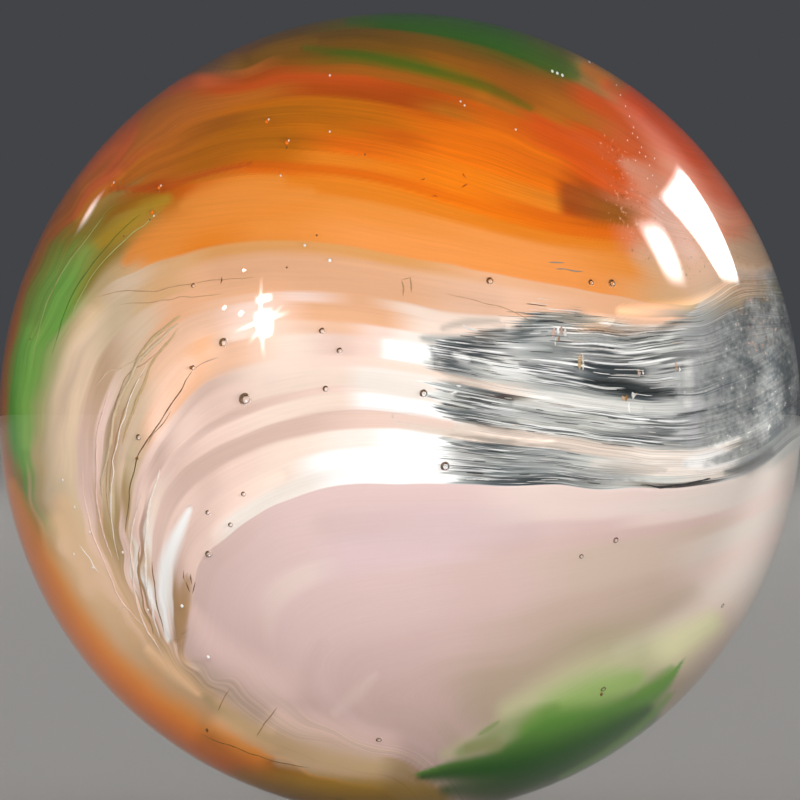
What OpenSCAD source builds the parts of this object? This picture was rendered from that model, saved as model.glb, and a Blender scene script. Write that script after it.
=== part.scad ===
// Glass marble: one ball of opal, clear, peach, white, orange, amber, red and green glass, folded hot
// and rolled round. The origin is the ball's centre, +Z is up, and -Y is the side that shows the fold.

/* [Ball] */
// Diameter of the finished ball
ball_d = 16; // [14:0.5:25]

/* [Fold] */
// How far each seam drops toward the back, in degrees
seam_dip = 13; // [6:1:18]
// How much thinner the glass is at the left of a fold than over its top
side_thinning = 0.25; // [0.1:0.05:0.5]

/* [Opal glass] */
// Height of the opal's top seam where it crosses the upright axis
opal_top = -3.2; // [-4.2:0.1:-2.2]
// Place of the opal's left seam, from the upright axis
opal_left = -4.4; // [-5:0.1:-3]
// Rise of the top seam to the right, in degrees
opal_rise = 6; // [0:1:10]
// Radius of the fold between the two seams
opal_corner = 2.8; // [1.5:0.1:3.5]

/* [White ribbons] */
// Number of white ribbons over the opal
ribbon_count = 3; // [1:1:4]
// Thickness of the ribbon next to the opal
ribbon_t = 0.9; // [0.5:0.1:1.2]
// Gap of peach glass between two ribbons
ribbon_gap = 0.4; // [0.2:0.1:0.6]

/* [Clear window] */
// Left end of the clear window, from the upright axis
window_left = 0.8; // [-0.5:0.1:2]

/* [Orange, amber and red glass] */
// Height of the orange's lower seam where it crosses the upright axis
orange_bottom = 1.6; // [1.3:0.1:2.2]
// Place of the orange's left seam, from the upright axis
orange_left = -6.6; // [-6.8:0.1:-5.8]
// Fall of the lower seam to the right, in degrees
orange_fall = 4; // [1:1:8]
// Radius of the fold between the two seams
orange_corner = 3.2; // [2:0.1:4]
// Thickness of the peach glass under the orange
peach_t = 0.7; // [0.4:0.1:1.2]
// Thickness of the orange glass over its lower seam
orange_t = 1.5; // [1:0.1:2]
// Thickness of the amber glass over the orange
amber_t = 1.7; // [1:0.1:2.2]

/* [Streaks] */
// Depth of a streak below the surface
streak_depth = 0.5; // [0.3:0.1:0.8]
// Reach of the left green streak to each side of its middle
left_streak_w = 1.4; // [1:0.1:2]
// Reach of the top green streak to each side of its middle
top_streak_w = 1.3; // [0.8:0.1:2]
// Reach of the lower right green streak to each side of its middle
foot_streak_w = 1.5; // [1:0.1:2]
// Reach of the orange rim toward the back
rim_streak_w = 5; // [3:0.5:7]

/* [Seeds] */
// Diameter of the largest seed, a bubble of trapped air
seed_d = 0.24; // [0.16:0.02:0.4]
// Depth of the front seeds' centres below the surface
seed_depth = 0.35; // [0.3:0.05:0.8]
// Number of small seeds scattered through the ball
scatter_count = 24; // [0:1:40]

/* [Hidden] */
$fn = 128;
ball_r = ball_d / 2;
past = 2 * ball_d;

// The two ends of each streak: the way round from the front and the height, in degrees
LEFT_STREAK = [[-54, 34], [-72, -18]];
TOP_STREAK = [[-68, 76], [48, 58]];
FOOT_STREAK = [[4, -69], [60, -38]];
RIM_STREAK = [[-76, 12], [10, -66]];

// The larger seeds: place across and height as shares of the ball's radius, and size beside the largest
SEEDS = [
    [-0.365, 0.035, 1], [-0.417, 0.169, 0.75], [-0.142, 0.15, 0.5], [-0.184, 0.197, 0.5],
    [-0.175, 0.06, 0.5], [-0.49, 0.305, 0.4], [-0.49, 0.11, 0.4], [0.056, 0.049, 0.65],
    [0.107, -0.123, 0.75], [0.213, 0.315, 0.6], [0.503, 0.31, 0.65], [0.453, 0.312, 0.5],
    [-0.453, -0.332, 0.6], [-0.455, -0.233, 0.4], [-0.401, -0.262, 0.4], [-0.62, -0.055, 0.5],
    [-0.37, -0.189, 0.4], [0.512, -0.299, 0.5], [0.43, -0.337, 0.4], [0.769, -0.457, 0.4],
    [0.484, -0.655, 0.5], [-0.05, -0.775, 0.5]
];

function from_front(turn, rise) = [sin(turn) * cos(rise), -cos(turn) * cos(rise), sin(rise)];
function front_depth(across, height, r) = -sqrt(r * r - across * across - height * height);
function ribbon_low(i) = i * (ribbon_t + ribbon_gap) * (1 - i / 8);
function ribbon_high(i) = ribbon_low(i) + ribbon_t / (1 + i);

module ball() {
    sphere(r = ball_r);
}

// Everything right of a fold's left seam and under its top seam, with a round corner between them.
module fold(left, top, slope, corner) {
    rotate([90 - seam_dip, 0, 0])
        rotate([0, 0, slope])
            linear_extrude(height = past, center = true)
                union() {
                    translate([left + corner, -past]) square([past, past + top]);
                    translate([left, -past]) square([past, past + top - corner]);
                    translate([left + corner, top - corner]) circle(r = corner);
                }
}

// The opal's fold, grown by a height over its top seam.
module opal_fold(height = 0) {
    side = side_thinning * height;
    fold(opal_left - side, opal_top + height, opal_rise, opal_corner + side);
}

// The orange's fold, grown by a height over its lower seam.
module outer_fold(height = 0) {
    side = side_thinning * height;
    fold(orange_left - side, orange_bottom + height, -orange_fall, orange_corner + side);
}

// The wedge from a streak's depth outward, about the great circle through two points of the surface.
// It reaches before and behind that circle, and narrows to nothing at both points.
module streak(ends, before, behind) {
    a = ball_r * from_front(ends[0][0], ends[0][1]);
    b = ball_r * from_front(ends[1][0], ends[1][1]);
    middle = (a + b) / 2;
    along = (b - a) / norm(b - a);
    out = middle / norm(middle);
    side = cross(out, along);
    reach = 2 * (ball_r - norm(middle));
    difference() {
        multmatrix([
            [side[0], out[0], along[0], middle[0]],
            [side[1], out[1], along[1], middle[1]],
            [side[2], out[2], along[2], middle[2]]
        ])
            linear_extrude(height = past, center = true)
                polygon([[0, 0], [2 * before, reach], [-2 * behind, reach]]);
        sphere(r = ball_r - streak_depth);
    }
}

module green_streaks() {
    streak(LEFT_STREAK, left_streak_w, left_streak_w);
    streak(TOP_STREAK, top_streak_w, top_streak_w);
    streak(FOOT_STREAK, foot_streak_w, foot_streak_w);
}

module rim_streak() {
    streak(RIM_STREAK, 0, rim_streak_w);
}

module window_block() {
    translate([window_left, -past / 2, -past / 2])
        cube(past);
}

// The ribbons lie in the peach glass, follow the opal's fold and end at the window.
module ribbons() {
    for (i = [0:1:ribbon_count - 1])
        difference() {
            opal_fold(ribbon_high(i));
            opal_fold(ribbon_low(i));
            window_block();
        }
}

module opal_glass() {
    color("mistyrose")
        difference() {
            intersection() {
                ball();
                opal_fold();
            }
            green_streaks();
            rim_streak();
        }
}

module white_glass() {
    color("white")
        difference() {
            intersection() {
                ball();
                ribbons();
                outer_fold();
            }
            green_streaks();
            rim_streak();
        }
}

module clear_glass() {
    color([0.75, 0.8, 0.82, 0.4])
        difference() {
            intersection() {
                ball();
                outer_fold(-peach_t);
                window_block();
            }
            opal_fold();
            green_streaks();
            rim_streak();
        }
}

module peach_glass() {
    color("peachpuff")
        difference() {
            intersection() {
                ball();
                outer_fold();
            }
            opal_fold();
            ribbons();
            intersection() {
                outer_fold(-peach_t);
                window_block();
            }
            green_streaks();
            rim_streak();
        }
}

module orange_glass() {
    color("darkorange") {
        difference() {
            intersection() {
                ball();
                outer_fold(orange_t);
            }
            outer_fold();
            green_streaks();
            rim_streak();
        }
        difference() {
            intersection() {
                ball();
                rim_streak();
            }
            green_streaks();
        }
    }
}

module amber_glass() {
    color("darkgoldenrod")
        difference() {
            intersection() {
                ball();
                outer_fold(orange_t + amber_t);
            }
            outer_fold(orange_t);
            green_streaks();
            rim_streak();
        }
}

module red_glass() {
    color("orangered")
        difference() {
            ball();
            outer_fold(orange_t + amber_t);
            green_streaks();
            rim_streak();
        }
}

module green_glass() {
    color("forestgreen")
        intersection() {
            ball();
            green_streaks();
        }
}

module seeds() {
    skin_r = ball_r - seed_depth;
    for (s = SEEDS) {
        across = ball_r * s[0];
        height = ball_r * s[1];
        translate([across, front_depth(across, height, skin_r), height])
            sphere(d = seed_d * s[2], $fn = 24);
    }
    for (i = [0:1:scatter_count - 1]) {
        turn = rands(60, 300, 1, i)[0];
        rise = asin(rands(-0.9, 0.9, 1, i + 100)[0]);
        share = rands(0.3, 0.9, 1, i + 200)[0];
        translate(ball_r * share * from_front(turn, rise))
            sphere(d = seed_d / 2, $fn = 24);
    }
}

module marble() {
    difference() {
        union() {
            opal_glass();
            white_glass();
            clear_glass();
            peach_glass();
            orange_glass();
            amber_glass();
            red_glass();
            green_glass();
        }
        seeds();
    }
}

marble();
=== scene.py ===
"""A glass marble: coloured glass folded under a clear skin, with seeds, threads and a few scuffs.

Lengths are in metres once they reach Blender. The tables below are in millimetres, seen from the front
(-Y): "across" runs to the right and "height" runs up, both from the ball's centre.
"""

import math

import bmesh
import bpy
import numpy as np
from mathutils import Matrix, Vector


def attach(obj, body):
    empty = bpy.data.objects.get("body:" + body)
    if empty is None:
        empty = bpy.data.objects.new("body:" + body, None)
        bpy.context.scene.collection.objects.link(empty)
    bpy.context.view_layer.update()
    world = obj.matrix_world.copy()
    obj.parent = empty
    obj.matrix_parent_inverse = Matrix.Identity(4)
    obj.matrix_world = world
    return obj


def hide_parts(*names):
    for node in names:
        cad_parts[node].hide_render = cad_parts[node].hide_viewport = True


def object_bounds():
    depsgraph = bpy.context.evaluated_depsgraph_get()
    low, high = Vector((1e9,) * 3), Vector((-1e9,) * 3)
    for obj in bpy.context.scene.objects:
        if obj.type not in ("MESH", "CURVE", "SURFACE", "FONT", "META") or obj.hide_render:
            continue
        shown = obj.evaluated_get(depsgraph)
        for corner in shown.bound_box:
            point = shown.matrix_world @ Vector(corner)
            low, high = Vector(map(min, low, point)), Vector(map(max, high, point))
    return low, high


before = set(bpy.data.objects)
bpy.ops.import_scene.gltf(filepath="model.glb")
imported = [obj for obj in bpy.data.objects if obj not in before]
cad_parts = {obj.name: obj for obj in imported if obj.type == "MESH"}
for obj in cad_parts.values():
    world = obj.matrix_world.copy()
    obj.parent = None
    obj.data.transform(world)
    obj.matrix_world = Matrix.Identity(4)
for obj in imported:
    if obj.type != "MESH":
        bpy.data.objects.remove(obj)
cad_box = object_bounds()

# ---------------------------------------------------------------- sizes

MM = 0.001
BALL_R = (cad_box[1].x - cad_box[0].x) / 2 / MM
GLASS_IOR = 1.5
SKIN = 0.5
CORE_R = BALL_R - SKIN
PANE_DEPTH = 0.55

# Cells along an edge of the core, the skin and a seed, and how far the core's are drawn to the front.
CORE_CELLS, SKIN_CELLS, SEED_CELLS = 128, 64, 4
TOWARD_FRONT = 0.4

# A seed's least height over the colours for it to be a bubble in the skin, and the glass over it.
SEED_HEIGHT, SEED_COVER = 0.02, 0.06

# The back: how far the pattern turns there, how much more loosely it keeps to its lines, and how fast its
# fine threads change with depth.
BACK_TWIST = math.radians(80)
BACK_SLACK = 1.5
BACK_CHANGE = 6

# How much shorter the clear window is at the back.
WINDOW_CLOSING = 12

# How closely the curve of a stroke is followed, and the least reach that it has at its ends.
STROKE_PITCH, LEAST_REACH = 0.6, 0.01

# How closely a thread is followed, how much it sways, and how uneven its thickness is.
THREAD_PITCH, THREAD_SWAY, THREAD_UNEVEN = 0.08, 0.012, 0.3

# The stretch of the front that holds the window's hairlines, how many there are, their steps, and how far
# along the flow they reach.
HAIRLINES_FROM, HAIRLINES_TO = (0.6, -1.4), (7.7, 3.0)
HAIRLINES, HAIRLINE_STEPS, HAIRLINE_END = 190, 14, 5.6
# The hairlines' greys paint the dark edges of the window's striae, and their whites its glints.
HAIRLINE_COLOURS = ["ink", "graphite", "graphite", "lead", "iron", "white", "pearl", "bone"]

# The share of the ball's radius at which the specks lie, and the steps along one.
SPECK_DEPTH, SPECK_STEPS = 0.96, 5

# Heights over the opal's seam: the top of the ribbons, and the top of the orange and amber over them.
RIBBONS_TOP, AMBER_TOP = 4.5, 9.5

# Swells of the ribbons: height over the opal's seam, reach and rise.
RIBBON_SWELLS = [
    (0.5, 0.35, 0.05), (1.62, 0.14, 0.03), (2.1, 0.16, 0.03), (2.75, 0.25, 0.04), (3.3, 0.15, 0.02),
]

# Where the eye is: how far off, how high, half the view's width over its distance, and how wide the ball
# looks from there.
EYE = 200
EYE_HEIGHT = 0.275
HALF_VIEW = 0.0399
RIM_R = BALL_R / math.sqrt(1 - (BALL_R / EYE) ** 2)

# Rounds in which a bent ray settles: from the core out to the skin, and from the eye in.
SKIN_ROUNDS, UNDER_ROUNDS = 14, 30

# The stretch of the flow that the colour ramps cover.
FLOW_START, FLOW_SPAN = -20, 28

# Bright openings that only the gloss shows: where the glint starts and ends on the front, its width in
# degrees at both ends, how soft its edge is, its brightness and its colour.
GLINTS = [
    ("window haze", (4.9, 4.6), (6.5, 2.6), (70, 60), 1.0, 2.5, "blush"),
    ("spot haze", (-3.2, 2.5), (-2.1, 1.0), (34, 30), 1.0, 4, "pink salmon"),
    ("window light", (5.24, 4.62), (6.5, 2.5), (26, 11), 0.42, 40, "white"),
    ("second window light", (4.74, 3.86), (5.42, 2.4), (13, 10), 0.8, 32, "white"),
    ("upper ray", (-3.25, 1.55), (-2.05, 1.98), (1.5, 2.5), 0.9, 26, "white"),
    ("lower ray", (-2.95, 1.3), (-2.2, 2.15), (2, 1.5), 0.9, 22, "white"),
    ("long ray", (-2.66, 2.7), (-2.6, 1.0), (1.5, 2), 0.9, 26, "white"),
    ("spot", (-2.64, 2.06), (-2.56, 1.42), (7.5, 5), 0.9, 110, "white"),
    ("spot above", (-2.82, 2.18), (-2.42, 2.26), (3, 3), 0.9, 60, "white"),
    ("left spark", (-3.42, 2.08), (-3.35, 2.02), (1.6, 1.6), 0.9, 60, "white"),
    ("near spark", (-3.1, 1.98), (-3.02, 1.9), (2, 2), 0.9, 60, "white"),
    ("high spark", (-3.04, 2.8), (-2.98, 2.74), (1.2, 1.2), 0.9, 50, "white"),
    ("side light", (-5.86, 4.4), (-6.28, 3.55), (5, 6), 1.0, 4.5, "white"),
]

# The floor's radius, and the soft lamps: name, place, length, width and watts, in metres.
FLOOR_R = 3
SOFT_LAMPS = [
    ("soft front", (0.0, -0.5, 0.035), 0.5, 0.08, 2.0),
    ("soft key", (-0.55, -0.4, 0.22), 0.4, 0.4, 0.85),
    ("soft fill", (0.55, -0.35, 0.2), 0.4, 0.4, 0.95),
    ("soft back", (0.2, 0.6, 0.4), 0.4, 0.4, 1.0),
]

# ---------------------------------------------------------------- colours of the glass

PALETTE = {
    # Whites and flesh tones of the folded ribbons.
    "white": "FFFEFC", "ivory": "F2E6DC", "cream": "F2DACA", "blush": "F2D2C4", "rose": "E4C4B6",
    "mauve": "D4B4A6", "dusk": "BE9C8C", "clay": "B08A62", "tan": "C4A284", "sand": "BC9C78",
    "khaki": "AA8E62", "pale sand": "CEB696", "buff": "DABEA2", "peach": "E8BA9C", "apricot": "E6AE86",
    "toffee": "D8A878", "caramel": "DC9C5C",
    # The opal.
    "opal pink": "E2C6C6", "opal rose": "E2C4C0", "opal": "DCBEB8", "opal shade": "D8BAB2",
    "opal beige": "D4BCAC", "opal light": "EAD2CA", "opal pearl": "E6D8CE", "opal tan": "CEB4A4",
    "opal grey": "C6AE9A", "opal khaki": "BEAC92",
    # Oranges and reds.
    "light orange": "EC944A", "soft orange": "E68C38", "orange": "E27E1A", "bright orange": "EE7C08",
    "hot orange": "E87000", "deep orange": "DE6804", "burnt orange": "CC5E00", "amber": "B26400",
    "dark amber": "AE6004", "honey": "C26800", "copper": "BA6810", "rust": "B86414", "brick": "AE4800",
    "crimson": "B84A0A", "scarlet": "D65408", "coral": "D65E28", "salmon": "DC8058", "pink salmon": "E6A88C",
    "chestnut": "B0601C", "dull red": "C05826", "mahogany": "7E4E22", "plum": "6C4A30",
    # Browns, olives and greens.
    "brown amber": "A0580A", "bronze": "805400", "olive brown": "6E4C00", "dark olive": "645A08",
    "brass": "9C5C00", "ochre": "A07A38", "straw": "C2A67A", "celadon": "A2A46C", "warm tan": "C08A50",
    "mustard": "8E7A28", "moss": "748A2C", "fern": "74A044", "grass": "5E9A34", "meadow": "4E9028",
    "forest": "0C5A08", "bottle": "0A5E0C", "crown green": "305A08", "lime": "A8B070",
    # Greys of the clear window: they paint the dark seen into its clear glass.
    "ink": "1A2022", "graphite": "32393D", "lead": "535A5E", "iron": "6E7575", "pewter": "8F9391",
    "ash": "A6A8A6", "fog": "BABAB8", "mist": "CACAC4", "pearl": "E0DED8", "linen": "DECCBE",
    "bone": "EADCD0", "dark brown": "443630", "taupe": "8E887E", "drab": "8A8468",
    # Washes of colour and single threads.
    "warm sand": "E0BA90", "rim amber": "DE8C2C", "rim orange": "F87C08", "olive gold": "B48E24",
    "sage": "DAD8AA", "bright leaf": "A4CC6C", "top green": "2E6606", "rim scarlet": "E04408",
    "frosted tan": "D8AE8C", "lilac grey": "B4AEB6", "umber": "6A4C30", "lime green": "6CA832",
    # The room.
    "backdrop": "424448", "room": "A0A0A0", "floor": "B4B2AE",
}


def linear(name):
    """A colour of the palette as linear red, green and blue."""
    channels = np.array([int(PALETTE[name][i : i + 2], 16) for i in (0, 2, 4)]) / 255
    return np.where(channels <= 0.04045, channels / 12.92, ((channels + 0.055) / 1.055) ** 2.4)


def paint(name):
    """A colour of the palette for a material's socket."""
    return (*linear(name), 1)


# ---------------------------------------------------------------- how the glass flowed

# Lines of flow, by their height over the opal's seam. Each runs from the lower left round to the right.
FLOW_LINES = {
    9.4: [(-2.7, 7.55), (-1.4, 7.9), (0, 8), (1.6, 7.85), (3.2, 7.35), (4.4, 6.75), (5.4, 5.95)],
    9.05: [(-3.2, 7.2), (-1.5, 7.65), (0, 7.65), (1.2, 7.45), (2.4, 7.1), (3.6, 6.6), (4.8, 5.95),
      (5.9, 5.3)],
    8.4: [(-4, 6.9), (-2.6, 7.1), (-1, 7.2), (0, 7), (1.2, 6.7), (2.4, 6.25), (3.4, 5.8), (4.4, 5.3),
      (5.5, 4.75), (6.6, 4.3)],
    7.9: [(-5, 6.1), (-4, 6.45), (-2.6, 6.65), (-1.2, 6.7), (0, 6.55), (1.4, 6.2), (2.6, 5.75), (3.8, 5.2),
      (5, 4.55), (6, 4.05), (6.95, 3.7)],
    7.5: [(-2, -7.68), (-3, -7.4), (-3.95, -6.9), (-4.85, -6.28), (-5.65, -5.55), (-6.4, -4.7),
      (-7.05, -3.7), (-7.5, -2.5), (-7.85, -1.2), (-7.9, 0.2), (-7.7, 1.5), (-7.2, 2.9), (-6.5, 3.9),
      (-5.8, 4.65), (-4.7, 5.55), (-3.8, 6.05), (-2.6, 6.3), (-1.4, 6.35), (0, 6.15), (1, 5.95), (2.2, 5.6),
      (3.2, 5.15), (4.4, 4.45), (5.4, 3.9), (6.4, 3.45), (7.15, 3.2)],
    6.1: [(-0.4, -7.7), (-1.8, -7.45), (-3, -7.15), (-3.85, -6.72), (-4.7, -6.15), (-5.48, -5.43),
      (-6.17, -4.65), (-6.85, -3.65), (-7.3, -2.6), (-7.6, -1.2), (-7.7, 0.2), (-7.5, 1.4), (-7.05, 2.5),
      (-6.5, 3.5), (-5.9, 4.2), (-5, 4.6), (-4, 4.85), (-3.1, 5.05), (-2, 5), (-1, 4.9), (0, 4.7), (1, 4.4),
      (2, 4.1), (3, 3.85), (4, 3.7), (4.8, 3.6), (5.7, 3.35), (6.5, 3.15), (7.3, 3)],
    4.5: [(-0.4, -7.5), (-1.8, -7.2), (-3.2, -6.75), (-4.05, -6.3), (-5, -5.6), (-5.8, -4.75),
      (-6.45, -3.7), (-6.95, -2.7), (-7.2, -1.8), (-7.28, -0.8), (-7.2, 0.1), (-7, 0.9), (-6.6, 1.7),
      (-6.05, 2.35), (-5.3, 2.8), (-4.4, 3.15), (-3.6, 3.35), (-2.8, 3.45), (-1.9, 3.45), (-1, 3.35),
      (0, 3.15), (1, 3), (2, 2.8), (3, 2.6), (4, 2.4), (5, 2.2), (5.8, 2.15), (6.3, 2.4), (6.85, 2.7),
      (7.4, 2.75)],
    4.25: [(-0.4, -7.42), (-1.4, -7.25), (-2.73, -6.76), (-3.2, -6.57), (-3.63, -6.32), (-4.03, -6.03),
      (-4.43, -5.71), (-4.79, -5.36), (-5.16, -4.96), (-5.49, -4.51), (-5.79, -4.08), (-6.09, -3.58),
      (-6.42, -3.05), (-6.69, -2.52), (-6.95, -1.8), (-6.95, -0.8), (-6.88, 0), (-6.65, 0.85), (-6.2, 1.7),
      (-5.55, 2.3), (-4.8, 2.7), (-3.9, 2.97), (-2.9, 3.12), (-2, 3.12), (-1, 3.05), (0, 2.88), (1, 2.7),
      (2, 2.52), (3, 2.38), (4, 2.22), (5, 2.08), (5.8, 2.05), (6.35, 2.3), (6.9, 2.58), (7.45, 2.6)],
    4: [(-4.89, -4.78), (-5.19, -4.34), (-5.46, -3.88), (-5.79, -3.38), (-6.12, -2.98), (-6.37, -2.58),
      (-6.4, -2.2), (-6.55, -1.7), (-6.6, -1.2), (-6.6, -0.7), (-6.55, -0.2), (-6.3, 0.8), (-5.8, 1.65),
      (-5.1, 2.25), (-4.2, 2.6), (-3, 2.8), (-2, 2.8), (-1, 2.75), (0, 2.6), (1, 2.4),
      (2, 2.25), (3, 2.15), (4, 2.05), (5, 1.95), (5.8, 1.95), (6.4, 2.2), (7, 2.45), (7.55, 2.45)],
    3.5: [(-4.67, -4.91), (-4.99, -4.51), (-5.32, -3.95), (-5.6, -3.38), (-5.8, -2.8), (-5.95, -1.8),
      (-5.95, -0.8), (-5.7, 0.3), (-5.3, 1), (-4.9, 1.45), (-4.4, 1.9), (-3.6, 2.15), (-2.8, 2.3),
      (-2, 2.3), (-1, 2.25), (0, 2.1), (1, 1.9), (2, 1.85), (3, 1.85), (4, 1.8), (5, 1.75), (5.7, 1.8),
      (6.4, 2), (7, 2.2), (7.65, 2.1)],
    2.6: [(-4.62, -4.88), (-4.88, -4.5), (-5.17, -3.95), (-5.36, -3.38), (-5.4, -2.9), (-5.45, -2.1),
      (-5.4, -1.5), (-5.25, -0.85), (-4.9, -0.25), (-4.5, 0.3), (-4.1, 0.75), (-3.6, 1), (-2.8, 1.2),
      (-2, 1.3), (-1, 1.3), (0, 1.2), (1, 1.05), (2, 0.85), (3, 0.7), (4, 0.5), (5, 0.4), (6, 0.45),
      (6.8, 0.75), (7.4, 1.1), (7.8, 1.45)],
    2.05: [(-4.57, -4.86), (-4.8, -4.48), (-5.07, -3.95), (-5.26, -3.38), (-5.3, -3), (-5.3, -2.3),
      (-5.15, -1.7), (-4.85, -1.1), (-4.4, -0.5), (-3.8, 0.05), (-3, 0.4), (-2, 0.65), (-1, 0.75),
      (0, 0.65), (1, 0.45), (2, 0.25), (3, 0.1), (4, 0), (5, -0.1), (6, -0.05), (6.8, 0.2), (7.4, 0.5),
      (7.9, 0.85)],
    1.55: [(-4.52, -4.83), (-4.67, -4.44), (-4.86, -3.91), (-4.98, -3.38), (-5.05, -3), (-5, -2.2),
      (-4.85, -1.6), (-4.5, -1.1), (-4, -0.7), (-3.2, -0.3), (-2.4, 0), (-1.6, 0.2), (-0.8, 0.25),
      (0, 0.15), (1, -0.05), (2, -0.2), (3, -0.35), (4, -0.5), (5, -0.6), (6, -0.6), (6.8, -0.35),
      (7.4, -0.05), (7.95, 0.3)],
    1.1: [(-4.46, -4.81), (-4.64, -4.21), (-4.76, -3.65), (-4.8, -3), (-4.7, -2.3), (-4.45, -1.75),
      (-4.05, -1.3), (-3.4, -0.9), (-2.7, -0.6), (-1.9, -0.4), (-1, -0.25), (0, -0.25), (1, -0.4),
      (2, -0.55), (3, -0.65), (4, -0.8), (5, -0.95), (6, -0.95), (6.8, -0.7), (7.4, -0.4), (7.95, 0)],
    0: [(-0.6, -6.9), (-4.31, -4.88), (-4.3, -4.58), (-4.26, -4.24), (-4.19, -3.91), (-4.11, -3.61),
      (-4.05, -3.1), (-3.5, -2.5), (-2.85, -2.02), (-2.25, -1.72), (-1.4, -1.45), (0, -1.4), (1.6, -1.4),
      (3.2, -1.4), (4.8, -1.45), (6, -1.4), (6.8, -1.25), (7.35, -0.95), (7.85, -0.5)],
    -0.6: [(-0.6, -6.8), (-3.76, -5.21), (-3.96, -4.84), (-3.94, -4.44), (-3.86, -4.01), (-3.74, -3.58),
      (-3.53, -3.11), (-2.6, -2.3), (-1.4, -2.05), (0, -1.95), (2, -1.95), (4, -1.9), (6, -1.7), (7, -1.4),
      (7.85, -0.8)],
    -1.3: [(-0.6, -6.62), (-1.3, -6.3), (-2.1, -5.75), (-2.75, -5.1), (-3.05, -4.3), (-2.95, -3.55),
      (-2.3, -3.05), (-1.3, -2.75), (0, -2.6), (2, -2.5), (4, -2.3), (6, -2), (7.1, -1.6), (7.85, -1.1)],
    -2.6: [(-0.8, -6.3), (-1.5, -5.75), (-2, -5.05), (-1.8, -4.4), (-1.1, -4), (0, -3.8), (2, -3.5),
      (4, -3.1), (6, -2.6), (7.75, -1.8)],
    -3.9: [(-0.4, -6.05), (-0.7, -5.6), (-0.5, -5.3), (0, -5.1), (2, -4.6), (4, -3.95), (6, -3.3),
      (7.5, -2.6)],
    -5: [(1.2, -6.15), (2.6, -5.45), (4, -4.75), (6, -3.9), (7.1, -3.4)],
    -5.8: [(1.6, -6.75), (3.2, -6), (4.4, -5.45), (5.6, -4.85), (6.6, -4.35)],
    -6.6: [(2.2, -7.3), (3.6, -6.75), (4.8, -6.1), (5.9, -5.3)],
}

# At the lower left some of these lines are pinched together. There they lie side by side along one line.
# Each has its distance from it, and how many of its points it follows. They draw closer toward its start.
PINCH_LINE = [
    (-2.199, -6.837), (-2.731, -6.624), (-3.163, -6.385), (-3.562, -6.126), (-3.928, -5.84),
    (-4.273, -5.554), (-4.592, -5.208),
]
PINCH_GAPS = {
    4: (0, 7), 3.5: (0.066, 6), 2.6: (0.146, 6), 1.55: (0.266, 6), 1.1: (0.359, 6), 0: (0.585, 6),
    -0.6: (0.831, 5),
}
PINCH_CLOSENESS = np.array([0.7, 0.8, 0.9, 1, 1, 1, 1])

# Colours along the flow at each stream of glass, from the heart of the opal outward. A stream also has
# its streakiness, the height of the seam above it, and the width over which it blends there.
OPAL_STREAMS = [
    ({-2: "opal tan", 0: "opal shade", 2: "opal grey", 3.4: "opal khaki", 5: "opal tan", 7: "opal pearl"},
     0.2, -4.2, 0.9),
    ({-3: "opal shade", -1: "opal", 1: "opal", 3: "opal tan", 5: "opal tan", 7.2: "opal light"}, 0.2, -3.2,
     0.6),
    ({-4: "opal", -2: "opal rose", 0: "opal rose", 2: "opal", 4: "opal beige", 5.2: "opal beige",
     7: "opal pearl"}, 0.15, -2.3, 0.4),
    ({-5: "opal shade", -2: "opal rose", 0: "opal rose", 1.6: "opal", 4: "opal beige", 6: "opal beige",
     7.4: "opal light"}, 0.15, -1.8, 0.25),
    ({-6: "opal", -4: "opal", -2: "opal light", -1: "opal pink", 0.8: "opal pink", 2.2: "opal",
     4: "opal shade", 6: "opal shade", 7.2: "opal light"}, 0.12, -1.4, 0.25),
    ({-8: "opal tan", -5: "opal", -2: "opal rose", -1: "opal pink", 1.4: "opal pink", 4: "opal",
     5.2: "opal light", 7: "opal pearl"}, 0.1, -0.95, 0.3),
    ({-8: "opal shade", -4: "opal", -2: "opal rose", 1: "opal pink", 3: "opal light", 7: "opal pearl"}, 0.1,
     -0.5, 0.3),
    ({-9: "tan", -6: "opal shade", -4: "opal shade", -2: "opal rose", 1: "opal rose", 2.6: "opal light",
     5: "opal light", 7: "opal pearl", 7.8: "mist"}, 0.12, 0.5, 0.3),
]
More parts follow.
